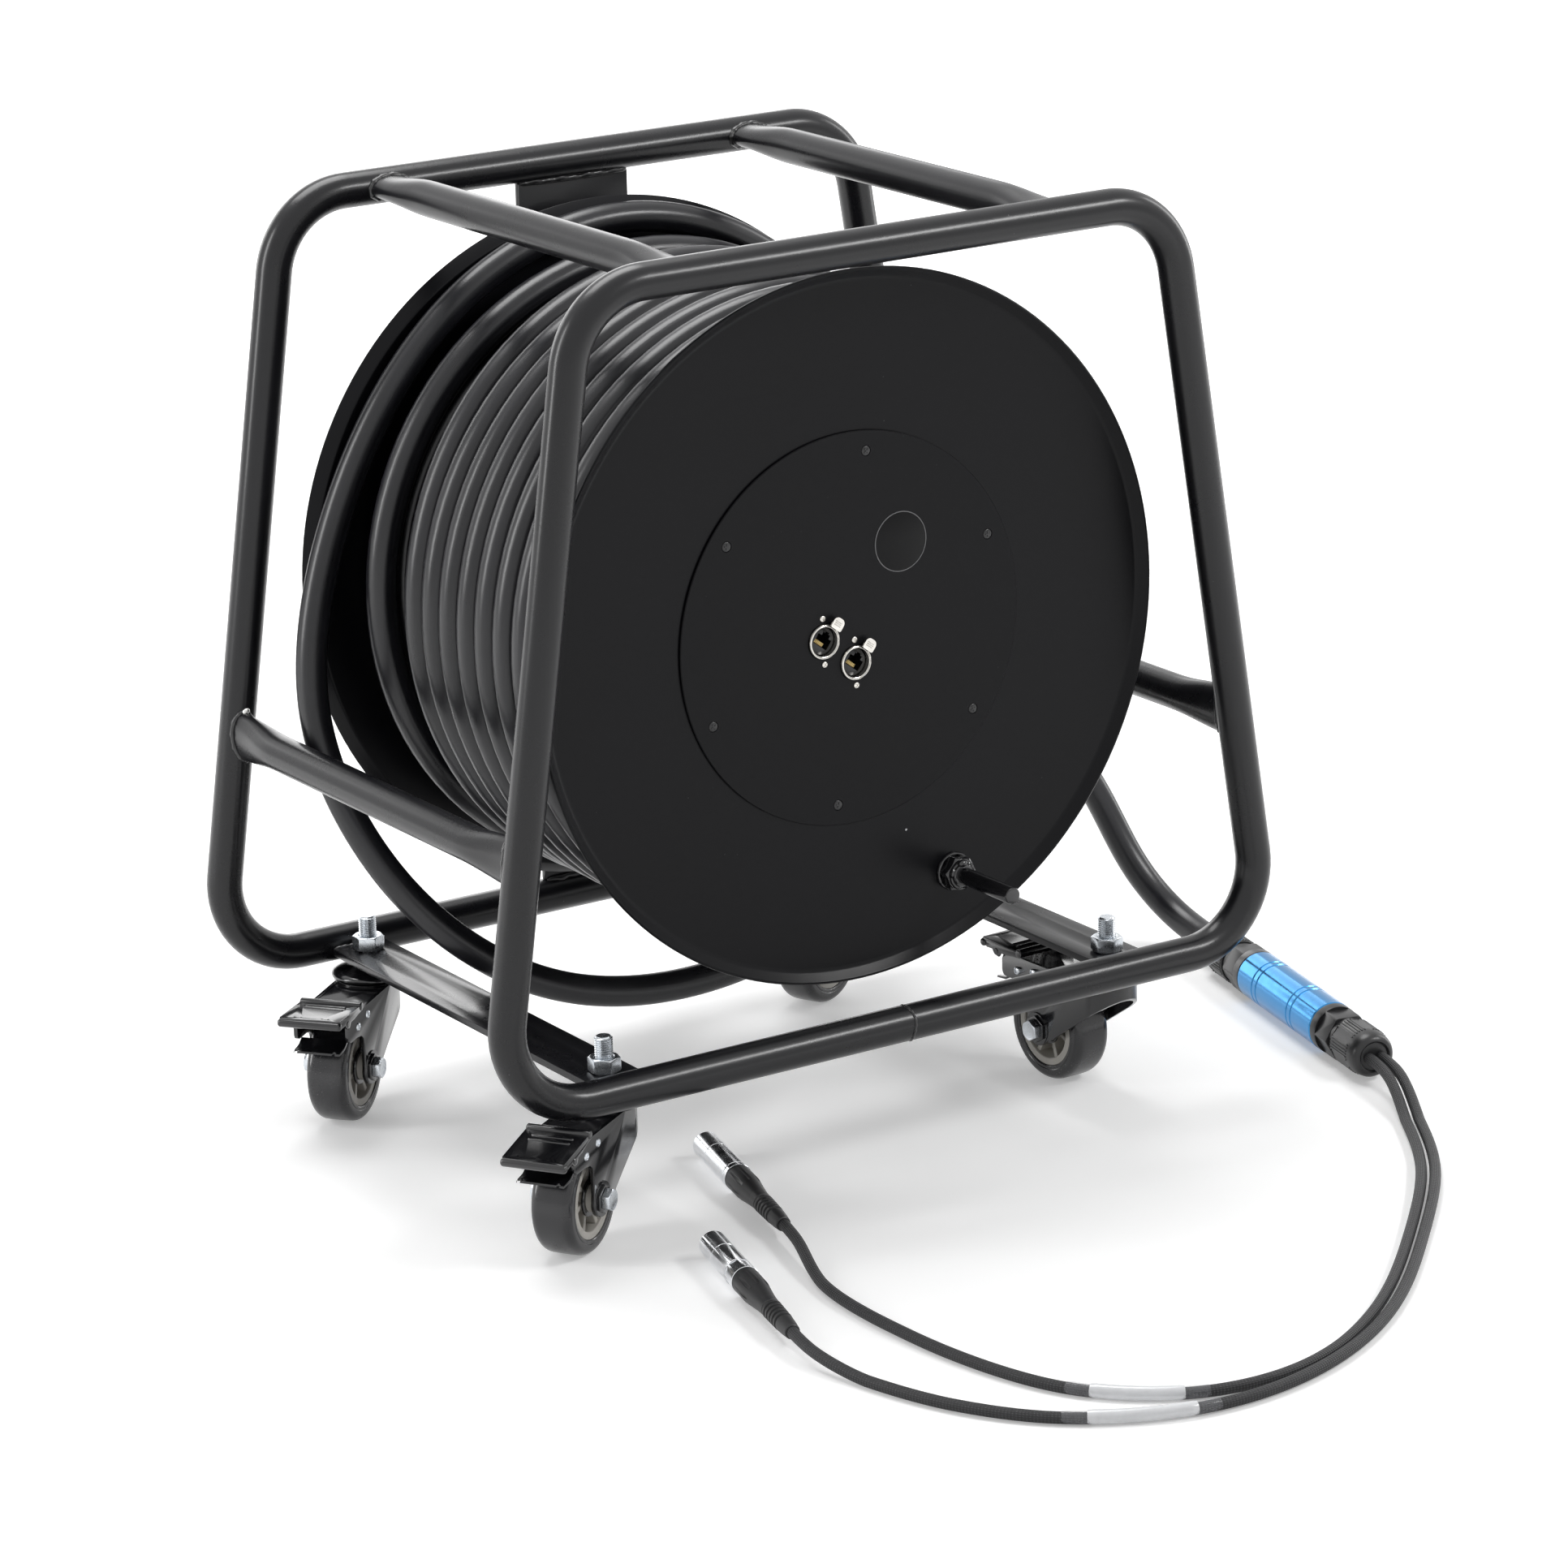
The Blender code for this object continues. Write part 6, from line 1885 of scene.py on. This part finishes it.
@dataclass
class Caster:
    """One swivel caster with its brake pedal, modelled with its stem upright.

    Local X runs from the stem towards the wheel, and Z is the height.
    """

    name: str
    place: Tuple[float, float]
    turn: float
    pressed: bool
    trail: float = 0.052
    wheel: float = 0.0375
    tread: float = 0.014
    cheek_in: float = 0.0172
    cheek: float = 0.0026
    web_top: float = 0.0823
    pedal_s: float = 0.07
    pedal_wide: float = 0.044
    pedal_reach: float = 0.042

    @property
    def stand(self) -> Matrix:
        """The caster's place and turn in the trolley."""
        x, y = self.place
        return shifted(x, y, 0.0) @ spun(self.turn, "Z")

    def axle_frame(self) -> Matrix:
        """Lays local Z along the axle, from the wheel's middle."""
        return shifted(self.trail, 0, self.wheel) @ spun(-math.pi / 2, "X")

    def thread(self) -> Workpiece:
        """The threaded stem over the bar."""
        top, low = 0.127, 0.1035
        profile = [(0.0, top), (0.0046, top), (0.0053, top - 0.0008)]
        z = top - 0.0012
        while z > low + 0.001:
            profile += [(0.006, z), (0.006, z - 0.0002), (0.0052, z - 0.0007), (0.0052, z - 0.0009)]
            z -= 0.0015
        profile += [(0.0058, low), (0.0058, 0.0978), (0.0, 0.0978)]
        return Workpiece.lathe("thread", profile, 40, 20.0)

    def upper_dish(self) -> Workpiece:
        """The black neck and the domed upper swivel dish."""
        profile = mm(
            0, 97.7, 12, 97.7, 12, 93.8, 12.6, 92.2, 14.2, 91.2, 17.5, 90.6, 21.5, 90, 24, 89.3,
            25.5, 88.3, 26, 87.1, 25.8, 86.2, 25, 85.7, 24, 85.6, 0, 85.6,
        )
        return Workpiece.lathe("upper_dish", profile, 72, 40.0)

    def nut(self) -> Workpiece:
        """The plated hex nut on the bar."""
        low, high = 0.1033, 0.1133
        dome = [(0.0, low), (0.0092, low), (0.0112, low + 0.0011), (0.0112, high - 0.0013),
                (0.009, high), (0.0, high)]
        mouth = [(0.0, low - 0.01), (0.0061, low - 0.01), (0.0061, high - 0.0008),
                 (0.0072, high + 0.0003), (0.0072, high + 0.01), (0.0, high + 0.01)]
        nut = Workpiece.hexagon("nut", low, high, 0.019, dome, 64)
        nut.cut(Workpiece.lathe("mouth", mouth, 40))
        return nut.eased(0.00025, 2).smooth(25.0).moved(spun(0.3, "Z"))

    def cheek_outline(self) -> List[Tuple[float, float]]:
        """The fork's side view, as pairs of distance from the stem and height."""
        t, w, top = self.trail, self.wheel, self.web_top + 0.001
        around = []
        for k in range(12):
            a = math.radians(218.0 + 137.0 * k / 11)
            around.append((t + 0.0118 * math.cos(a), w + 0.0118 * math.sin(a)))
        front = [(-0.023, top - 0.003), (-0.0226, top - 0.008), (-0.019, 0.072), (-0.012, 0.0665),
                 (0.0, 0.058), (0.024, 0.042), (0.036, 0.0335)]
        rear = [(t + 0.0106, 0.044), (t + 0.0108, 0.057), (t + 0.0122, 0.062), (t + 0.016, 0.0652),
                (t + 0.023, 0.0664), (t + 0.035, 0.0664), (t + 0.0372, 0.0676), (t + 0.0382, 0.07),
                (t + 0.0382, top - 0.005), (t + 0.0366, top - 0.002), (t + 0.033, top), (-0.02, top)]
        return front + around + rear

    def nose(self, end: float, half: float, height: float) -> List[Point]:
        """A flat line round the fork's nose, open towards the wheel.

        Args:
            end: how far from the stem its two ends are.
            half: half its width.
            height: its height.

        Returns:
            Its points in order.
        """
        rows = [(end, half, height)]
        for k in range(25):
            a = math.radians(90.0 + 180.0 * k / 24)
            rows.append((-0.0005 + half * math.cos(a), half * math.sin(a), height))
        return rows + [(end, -half, height)]

    def fork(self) -> Workpiece:
        """The pressed fork: a wall bent round the nose, cut to its side view."""
        wide = self.cheek_in + self.cheek
        middle = self.cheek_in + self.cheek / 2
        wall = Workpiece.line("fork", self.nose(0.096, middle, 0.015))
        bpy.ops.mesh.extrude_region_move(TRANSFORM_OT_translate={"value": (0, 0, 0.0693)})
        wall.closed_up().applied("SOLIDIFY", thickness=self.cheek, offset=0.0).closed_up()
        rows = [(s, -0.04, z) for s, z in self.cheek_outline()]
        wall.cut(Workpiece.plate("side", rows, (0.0, 0.08, 0.0)), "INTERSECT")
        web = self.nose(0.08, wide - 0.0008, self.web_top - 0.002)
        wall.cut(Workpiece.plate("web", web, (0.0, 0.0, 0.0024)), "UNION")
        crown = 0.0852
        dish = Workpiece.lathe("dish", [
            (0.0, crown), (0.0222, crown), (0.0238, crown - 0.0005), (0.0245, crown - 0.0014),
            (0.0243, crown - 0.0024), (0.0232, crown - 0.003), (0.0, crown - 0.0032)], 64, 40.0)
        wall.cut(dish, "UNION")
        wall.cut(Workpiece.rod("king", (0, 0, 0.07), (0, 0, 0.09), 0.0064, 32))
        reach = wide + 0.01
        ends = (self.trail, -reach, self.wheel), (self.trail, reach, self.wheel)
        wall.cut(Workpiece.rod("axle", *ends, 0.0044, 32))
        wall.eased(0.0005, 2, 40.0).smooth(38.0)
        return wall

    def hex_washers(self) -> Workpiece:
        """The black spacers between the cheeks and the bolt."""
        parts = []
        for sign in (-1, 1):
            base = sign * (self.cheek_in + self.cheek)
            profile = mm(4.5, 0, 11.6, 0, 11.4, 0.8, 4.5, 0.8)
            disc = Workpiece.lathe("boss", profile, 48)
            hexa = Workpiece.rod("hexa", (0, 0, 0.0006), (0, 0, 0.0024), 0.017 / math.sqrt(3.0), 6)
            hexa.cut(Workpiece.rod("hole", (0, 0, -0.01), (0, 0, 0.01), 0.0045, 24)).eased(0.0003, 2)
            parts.append(disc.joined([hexa]).moved(self.axle_frame() @ shifted(0, 0, base) @ facing(sign)))
        return parts[0].joined(parts[1:]).smooth(30.0)

    def bolt(self) -> Workpiece:
        """The plated axle bolt, with its head on one side and its nut on the other."""
        reach = self.cheek_in + self.cheek + 0.0024 + SKIN
        rod = Workpiece.rod("bolt", (0, 0, -reach - 0.004), (0, 0, reach + 0.004), 0.004, 32)
        parts = []
        for sign in (-1, 1):
            dome = [(0.0, reach - 0.001), (0.009, reach - 0.001), (0.009, reach + 0.0036),
                    (0.0064, reach + 0.0051), (0.0, reach + 0.0051)]
            head = Workpiece.hexagon("head", reach, reach + 0.0051, 0.013, dome, 48)
            if sign > 0:
                head.drawn_in(lambda c, n: n.z > 0.95 and c.z > reach + 0.005, 0.0012, 0.0005)
            head.eased(0.0002, 2)
            if sign < 0:
                head.moved(spun(math.pi, "X"))
            parts.append(head)
        return rod.joined(parts).smooth(25.0).moved(self.axle_frame())

    def rivets(self) -> Workpiece:
        """Two plated rivets through each cheek."""
        face = self.cheek_in + self.cheek
        parts = []
        for s, z in ((0.0735, 0.0735), (0.056, 0.0765)):
            for sign in (-1, 1):
                profile = mm(0, -0.5, 2.8, -0.5, 2.8, 0.3, 2.4, 1, 1.4, 1.4, 1.2, 0.8, 0, 0.8)
                rivet = Workpiece.lathe("rivet", profile, 32, 35.0)
                along = shifted(s, 0, z) @ spun(-math.pi / 2, "X")
                parts.append(rivet.moved(along @ shifted(0, 0, sign * face) @ facing(sign)))
        return parts[0].joined(parts[1:])

    def shoe(self) -> Workpiece:
        """The notched brake lever under the pedal."""
        rows = mm(83.5, 66.2, 85, 67.2, 90.5, 64, 100, 62.6, 100.3, 61.2, 90.2, 62.2, 85, 65.2)
        shoe = Workpiece.plate("shoe", [(s, -0.0165, z) for s, z in rows], (0.0, 0.033, 0.0))
        for y in (-0.015, 0.012):
            shoe.cut(Workpiece.rod("notch", (0.099, y, 0.05), (0.099, y, 0.08), 0.0016, 20))
        return shoe.eased(0.0004, 2).smooth(30.0)

    def hub(self) -> Workpiece:
        """The pale hub: rim ring, spokes and boss round the axle."""
        bore, edge, boss = 0.0046, 0.0132, 0.0169
        rim = Workpiece.lathe("rim", [
            (0.0272, -edge + 0.0004), (0.0272, edge - 0.0004), (0.0268, edge), (0.0226, edge),
            (0.0221, edge - 0.0006), (0.0214, 0.0015), (0.011, 0.0015), (0.011, -0.0015),
            (0.0214, -0.0015), (0.0221, -edge + 0.0006), (0.0226, -edge), (0.0268, -edge)], 96, 30.0)
        core = Workpiece.lathe("core", [
            (bore, -boss), (bore, boss), (0.0088, boss), (0.0092, boss - 0.0004), (0.0098, 0.006),
            (0.012, 0.0015), (0.012, -0.0015), (0.0098, -0.006), (0.0092, -boss + 0.0004),
            (0.0088, -boss)], 64, 30.0)
        spokes = []
        for k in range(7):
            spoke = Workpiece.box("spoke", (0.0155, 0, 0), (0.0134, 0.0022, 0.0196))
            spoke.worked(lambda c, n: n.x > 0.9, bpy.ops.transform.resize,
                         value=(1.0, 1.7, 1.12), center_override=(0.0222, 0, 0))
            spokes.append(spoke.eased(0.0003, 1).moved(spun(2 * math.pi * k / 7 + 0.2, "Z")))
        return rim.joined([core] + spokes).smooth(30.0).moved(self.axle_frame())

    def seal(self) -> Workpiece:
        """The dark bearing shields in the hub."""
        parts = []
        for sign in (-1, 1):
            profile = mm(9.3, 0, 12.5, 0, 12.5, 1.2, 11.8, 1.8, 9.3, 1.8)
            disc = Workpiece.lathe("shield", profile, 48, 30.0)
            parts.append(disc.moved(self.axle_frame() @ shifted(0, 0, sign * 0.0106) @ facing(sign)))
        return parts[0].joined(parts[1:])

    def tyre(self) -> Workpiece:
        """The tread with rounded shoulders and side lines."""
        r, e = self.wheel, self.tread
        half = [(0.02735, e - 0.0006), (0.028, e - 0.0001), (0.0293, e), (0.0298, e - 0.0003), (0.0303, e)]
        for k in range(9):
            a = math.pi / 2 * k / 8
            half.append((r - 0.0048 + 0.0047 * math.sin(a), e - 0.0062 + 0.0062 * math.cos(a)))
        half += [(r, 0.004), (r, 0.0005)]
        profile = half + [(x, -h) for x, h in reversed(half)]
        return Workpiece.lathe("tyre", profile, 112, 30.0).moved(self.axle_frame())

    def pedal(self) -> Workpiece:
        """The pedal: pressed plate, ears, embossed ribs and the rolled lip."""
        reach, half = self.pedal_reach, self.pedal_wide / 2
        size = (reach - 0.0034, 2 * half - 0.001, 0.002)
        plate = Workpiece.box("pedal", (reach / 2 + 0.0002, 0, 0), size)
        plate.rounded_edges(lambda c, d: abs(d.z) > 0.9, 0.002, 4)
        for s in (0.0095, 0.015):
            rib = Workpiece.rod("rib", (s, -0.0145, 0.0006), (s, 0.0145, 0.0006), 0.0013, 20).eased(0.0009, 3)
            plate.cut(rib, "UNION")
        for y in (-0.012, -0.0075, 0.0075, 0.012):
            plate.cut(Workpiece.box("dot", (reach - 0.0062, y, 0.001), (0.0016, 0.001, 0.0008)))
        roll = Workpiece.rod("roll", (0, -half, 0), (0, half, 0), 0.003, 28).eased(0.001, 3)
        ends = (reach - 0.0028, -half - 0.0006, -0.0026), (reach - 0.0028, half + 0.0006, -0.0026)
        lip = Workpiece.rod("lip", *ends, 0.0029, 28).eased(0.002, 4)
        parts = [roll, lip]
        for sign in (-1, 1):
            rows = mm(
                -2.6, 1.2, 34, 0.6, 37.2, -2.2, 35.2, -5, 29, -4.6, 26.2, -7.8, 21.5, -8.4,
                19, -5.2, 12, -4.8, 6, -3.6, -1, -3,
            )
            base = sign * (half - 0.0004)
            ear = Workpiece.plate("ear", [(s, base, z) for s, z in rows], (0.0, -sign * 0.0014, 0.0))
            parts.append(ear.eased(0.0004, 2))
            ends = (0.0245, base - sign * 0.0014, -0.005), (0.0245, base + sign * 0.0004, -0.005)
            parts.append(Workpiece.rod("stop", *ends, 0.0022, 20).eased(0.0003, 1))
        plate.eased(0.0004, 2)
        pitch = math.radians(10.0 if self.pressed else -2.0)
        height = self.web_top + 0.001 + SKIN + 0.003
        whole = plate.joined(parts).smooth(32.0)
        return whole.moved(shifted(self.pedal_s, 0, height) @ spun(pitch, "Y"))

    def king(self) -> Workpiece:
        """The king pin with its riveted head under the web."""
        top, under = 0.085, self.web_top - 0.0024 - SKIN
        profile = [(0.0, top), (0.0058, top), (0.0058, under), (0.0088, under), (0.009, under - 0.0008),
                   (0.0078, under - 0.0025), (0.0, under - 0.0027)]
        return Workpiece.lathe("king", profile, 40, 35.0)

    def build(self) -> None:
        """Make the whole caster in its place."""
        n = self.name
        fork, wheel, pedal = "fork_" + n, "wheel_" + n, "pedal_" + n
        pieces = (
            (self.thread(), "thread", Finish.ZINC, "zinc", "frame", ("caster_stem_" + n,)),
            (self.upper_dish(), "upper_dish", Finish.CASTER, "caster_black", "frame", ()),
            (self.king(), "king_pin", Finish.CASTER, "caster_black", "frame", ()),
            (self.nut(), "hex_nut", Finish.ZINC, "zinc", "frame", ("caster_nut_" + n,)),
            (self.fork(), "fork_pressed", Finish.CASTER, "caster_black", fork, ("caster_fork_" + n,)),
            (self.hex_washers(), "spacers", Finish.CASTER, "caster_black", fork, ()),
            (self.bolt(), "axle_bolt", Finish.ZINC, "zinc", fork, ("caster_axle_" + n,)),
            (self.rivets(), "rivets", Finish.ZINC, "zinc", fork, ()),
            (self.shoe(), "brake_lever", Finish.CASTER, "caster_black", fork, ()),
            (self.hub(), "hub_spoked", Finish.HUB, "hub_grey", wheel, ("caster_hub_" + n,)),
            (self.seal(), "shields", Finish.CASTER, "caster_black", wheel, ()),
            (self.tyre(), "tread", Finish.TYRE, "tyre", wheel, ("caster_tyre_" + n,)),
            (self.pedal(), "pedal_pressed", Finish.CASTER, "caster_black", pedal, ("caster_pedal_" + n,)),
        )
        for piece, word, finish, slot, body, nodes in pieces:
            piece.obj.name = "%s_%s" % (word, n)
            piece.moved(self.stand).dressed(finish, slot, body, *nodes)
        LOG.info("caster %s: %d pieces", n, len(pieces))


TAIL_INNER = (
    (0.319, -0.316), (0.2788, -0.3805), (0.1918, -0.477), (0.0775, -0.5752), (-0.001, -0.6085),
    (-0.06, -0.605), (-0.0975, -0.585), (-0.126, -0.553), (-0.144, -0.508),
    (-0.154, -0.455), (-0.158, -0.395), (-0.152, -0.324),
)
TAIL_OUTER = (
    (0.3262, -0.3216), (0.2854, -0.3869), (0.1974, -0.484), (0.0819, -0.583), (-0.002, -0.619),
    (-0.065, -0.624), (-0.12, -0.6085), (-0.165, -0.576), (-0.198, -0.527),
    (-0.217, -0.47),
)


def main() -> None:
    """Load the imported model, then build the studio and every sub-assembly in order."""
    logging.basicConfig(level=logging.INFO, format="%(name)s: %(message)s")
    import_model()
    Studio().set_up()
    winding = Winding()
    splice = Splice()
    splice.build()
    LooseTurn(winding).build(splice)
    for tail in (
        Tail("inner", 1.0, TAIL_INNER, (-0.1245, -0.239), (0.2417, 0.9704), (0.594, 0.68), False),
        Tail("outer", -1.0, TAIL_OUTER, (-0.2182, -0.3925), (0.2495, 0.9684), (0.613, 0.709), True),
    ):
        tail.build(splice)
    winding.build()
    TubeFrame().build()
    drum = Drum()
    sockets = [Socket(drum, 1, -0.015), Socket(drum, 2, 0.015)]
    drum.build(sockets)
    for socket in sockets:
        socket.build()
    front, rear = LAYOUT.stem_y
    for name, side, row, turn, pressed in (
        ("front_left", -1, front, -146.0, True),
        ("rear_left", -1, rear, -140.6, False),
        ("front_right", 1, front, 92.5, False),
        ("rear_right", 1, rear, -154.8, False),
    ):
        Caster(name, (side * LAYOUT.stem_x, row), math.radians(turn), pressed).build()
    clear_bench()


if __name__ == "__main__":
    main()
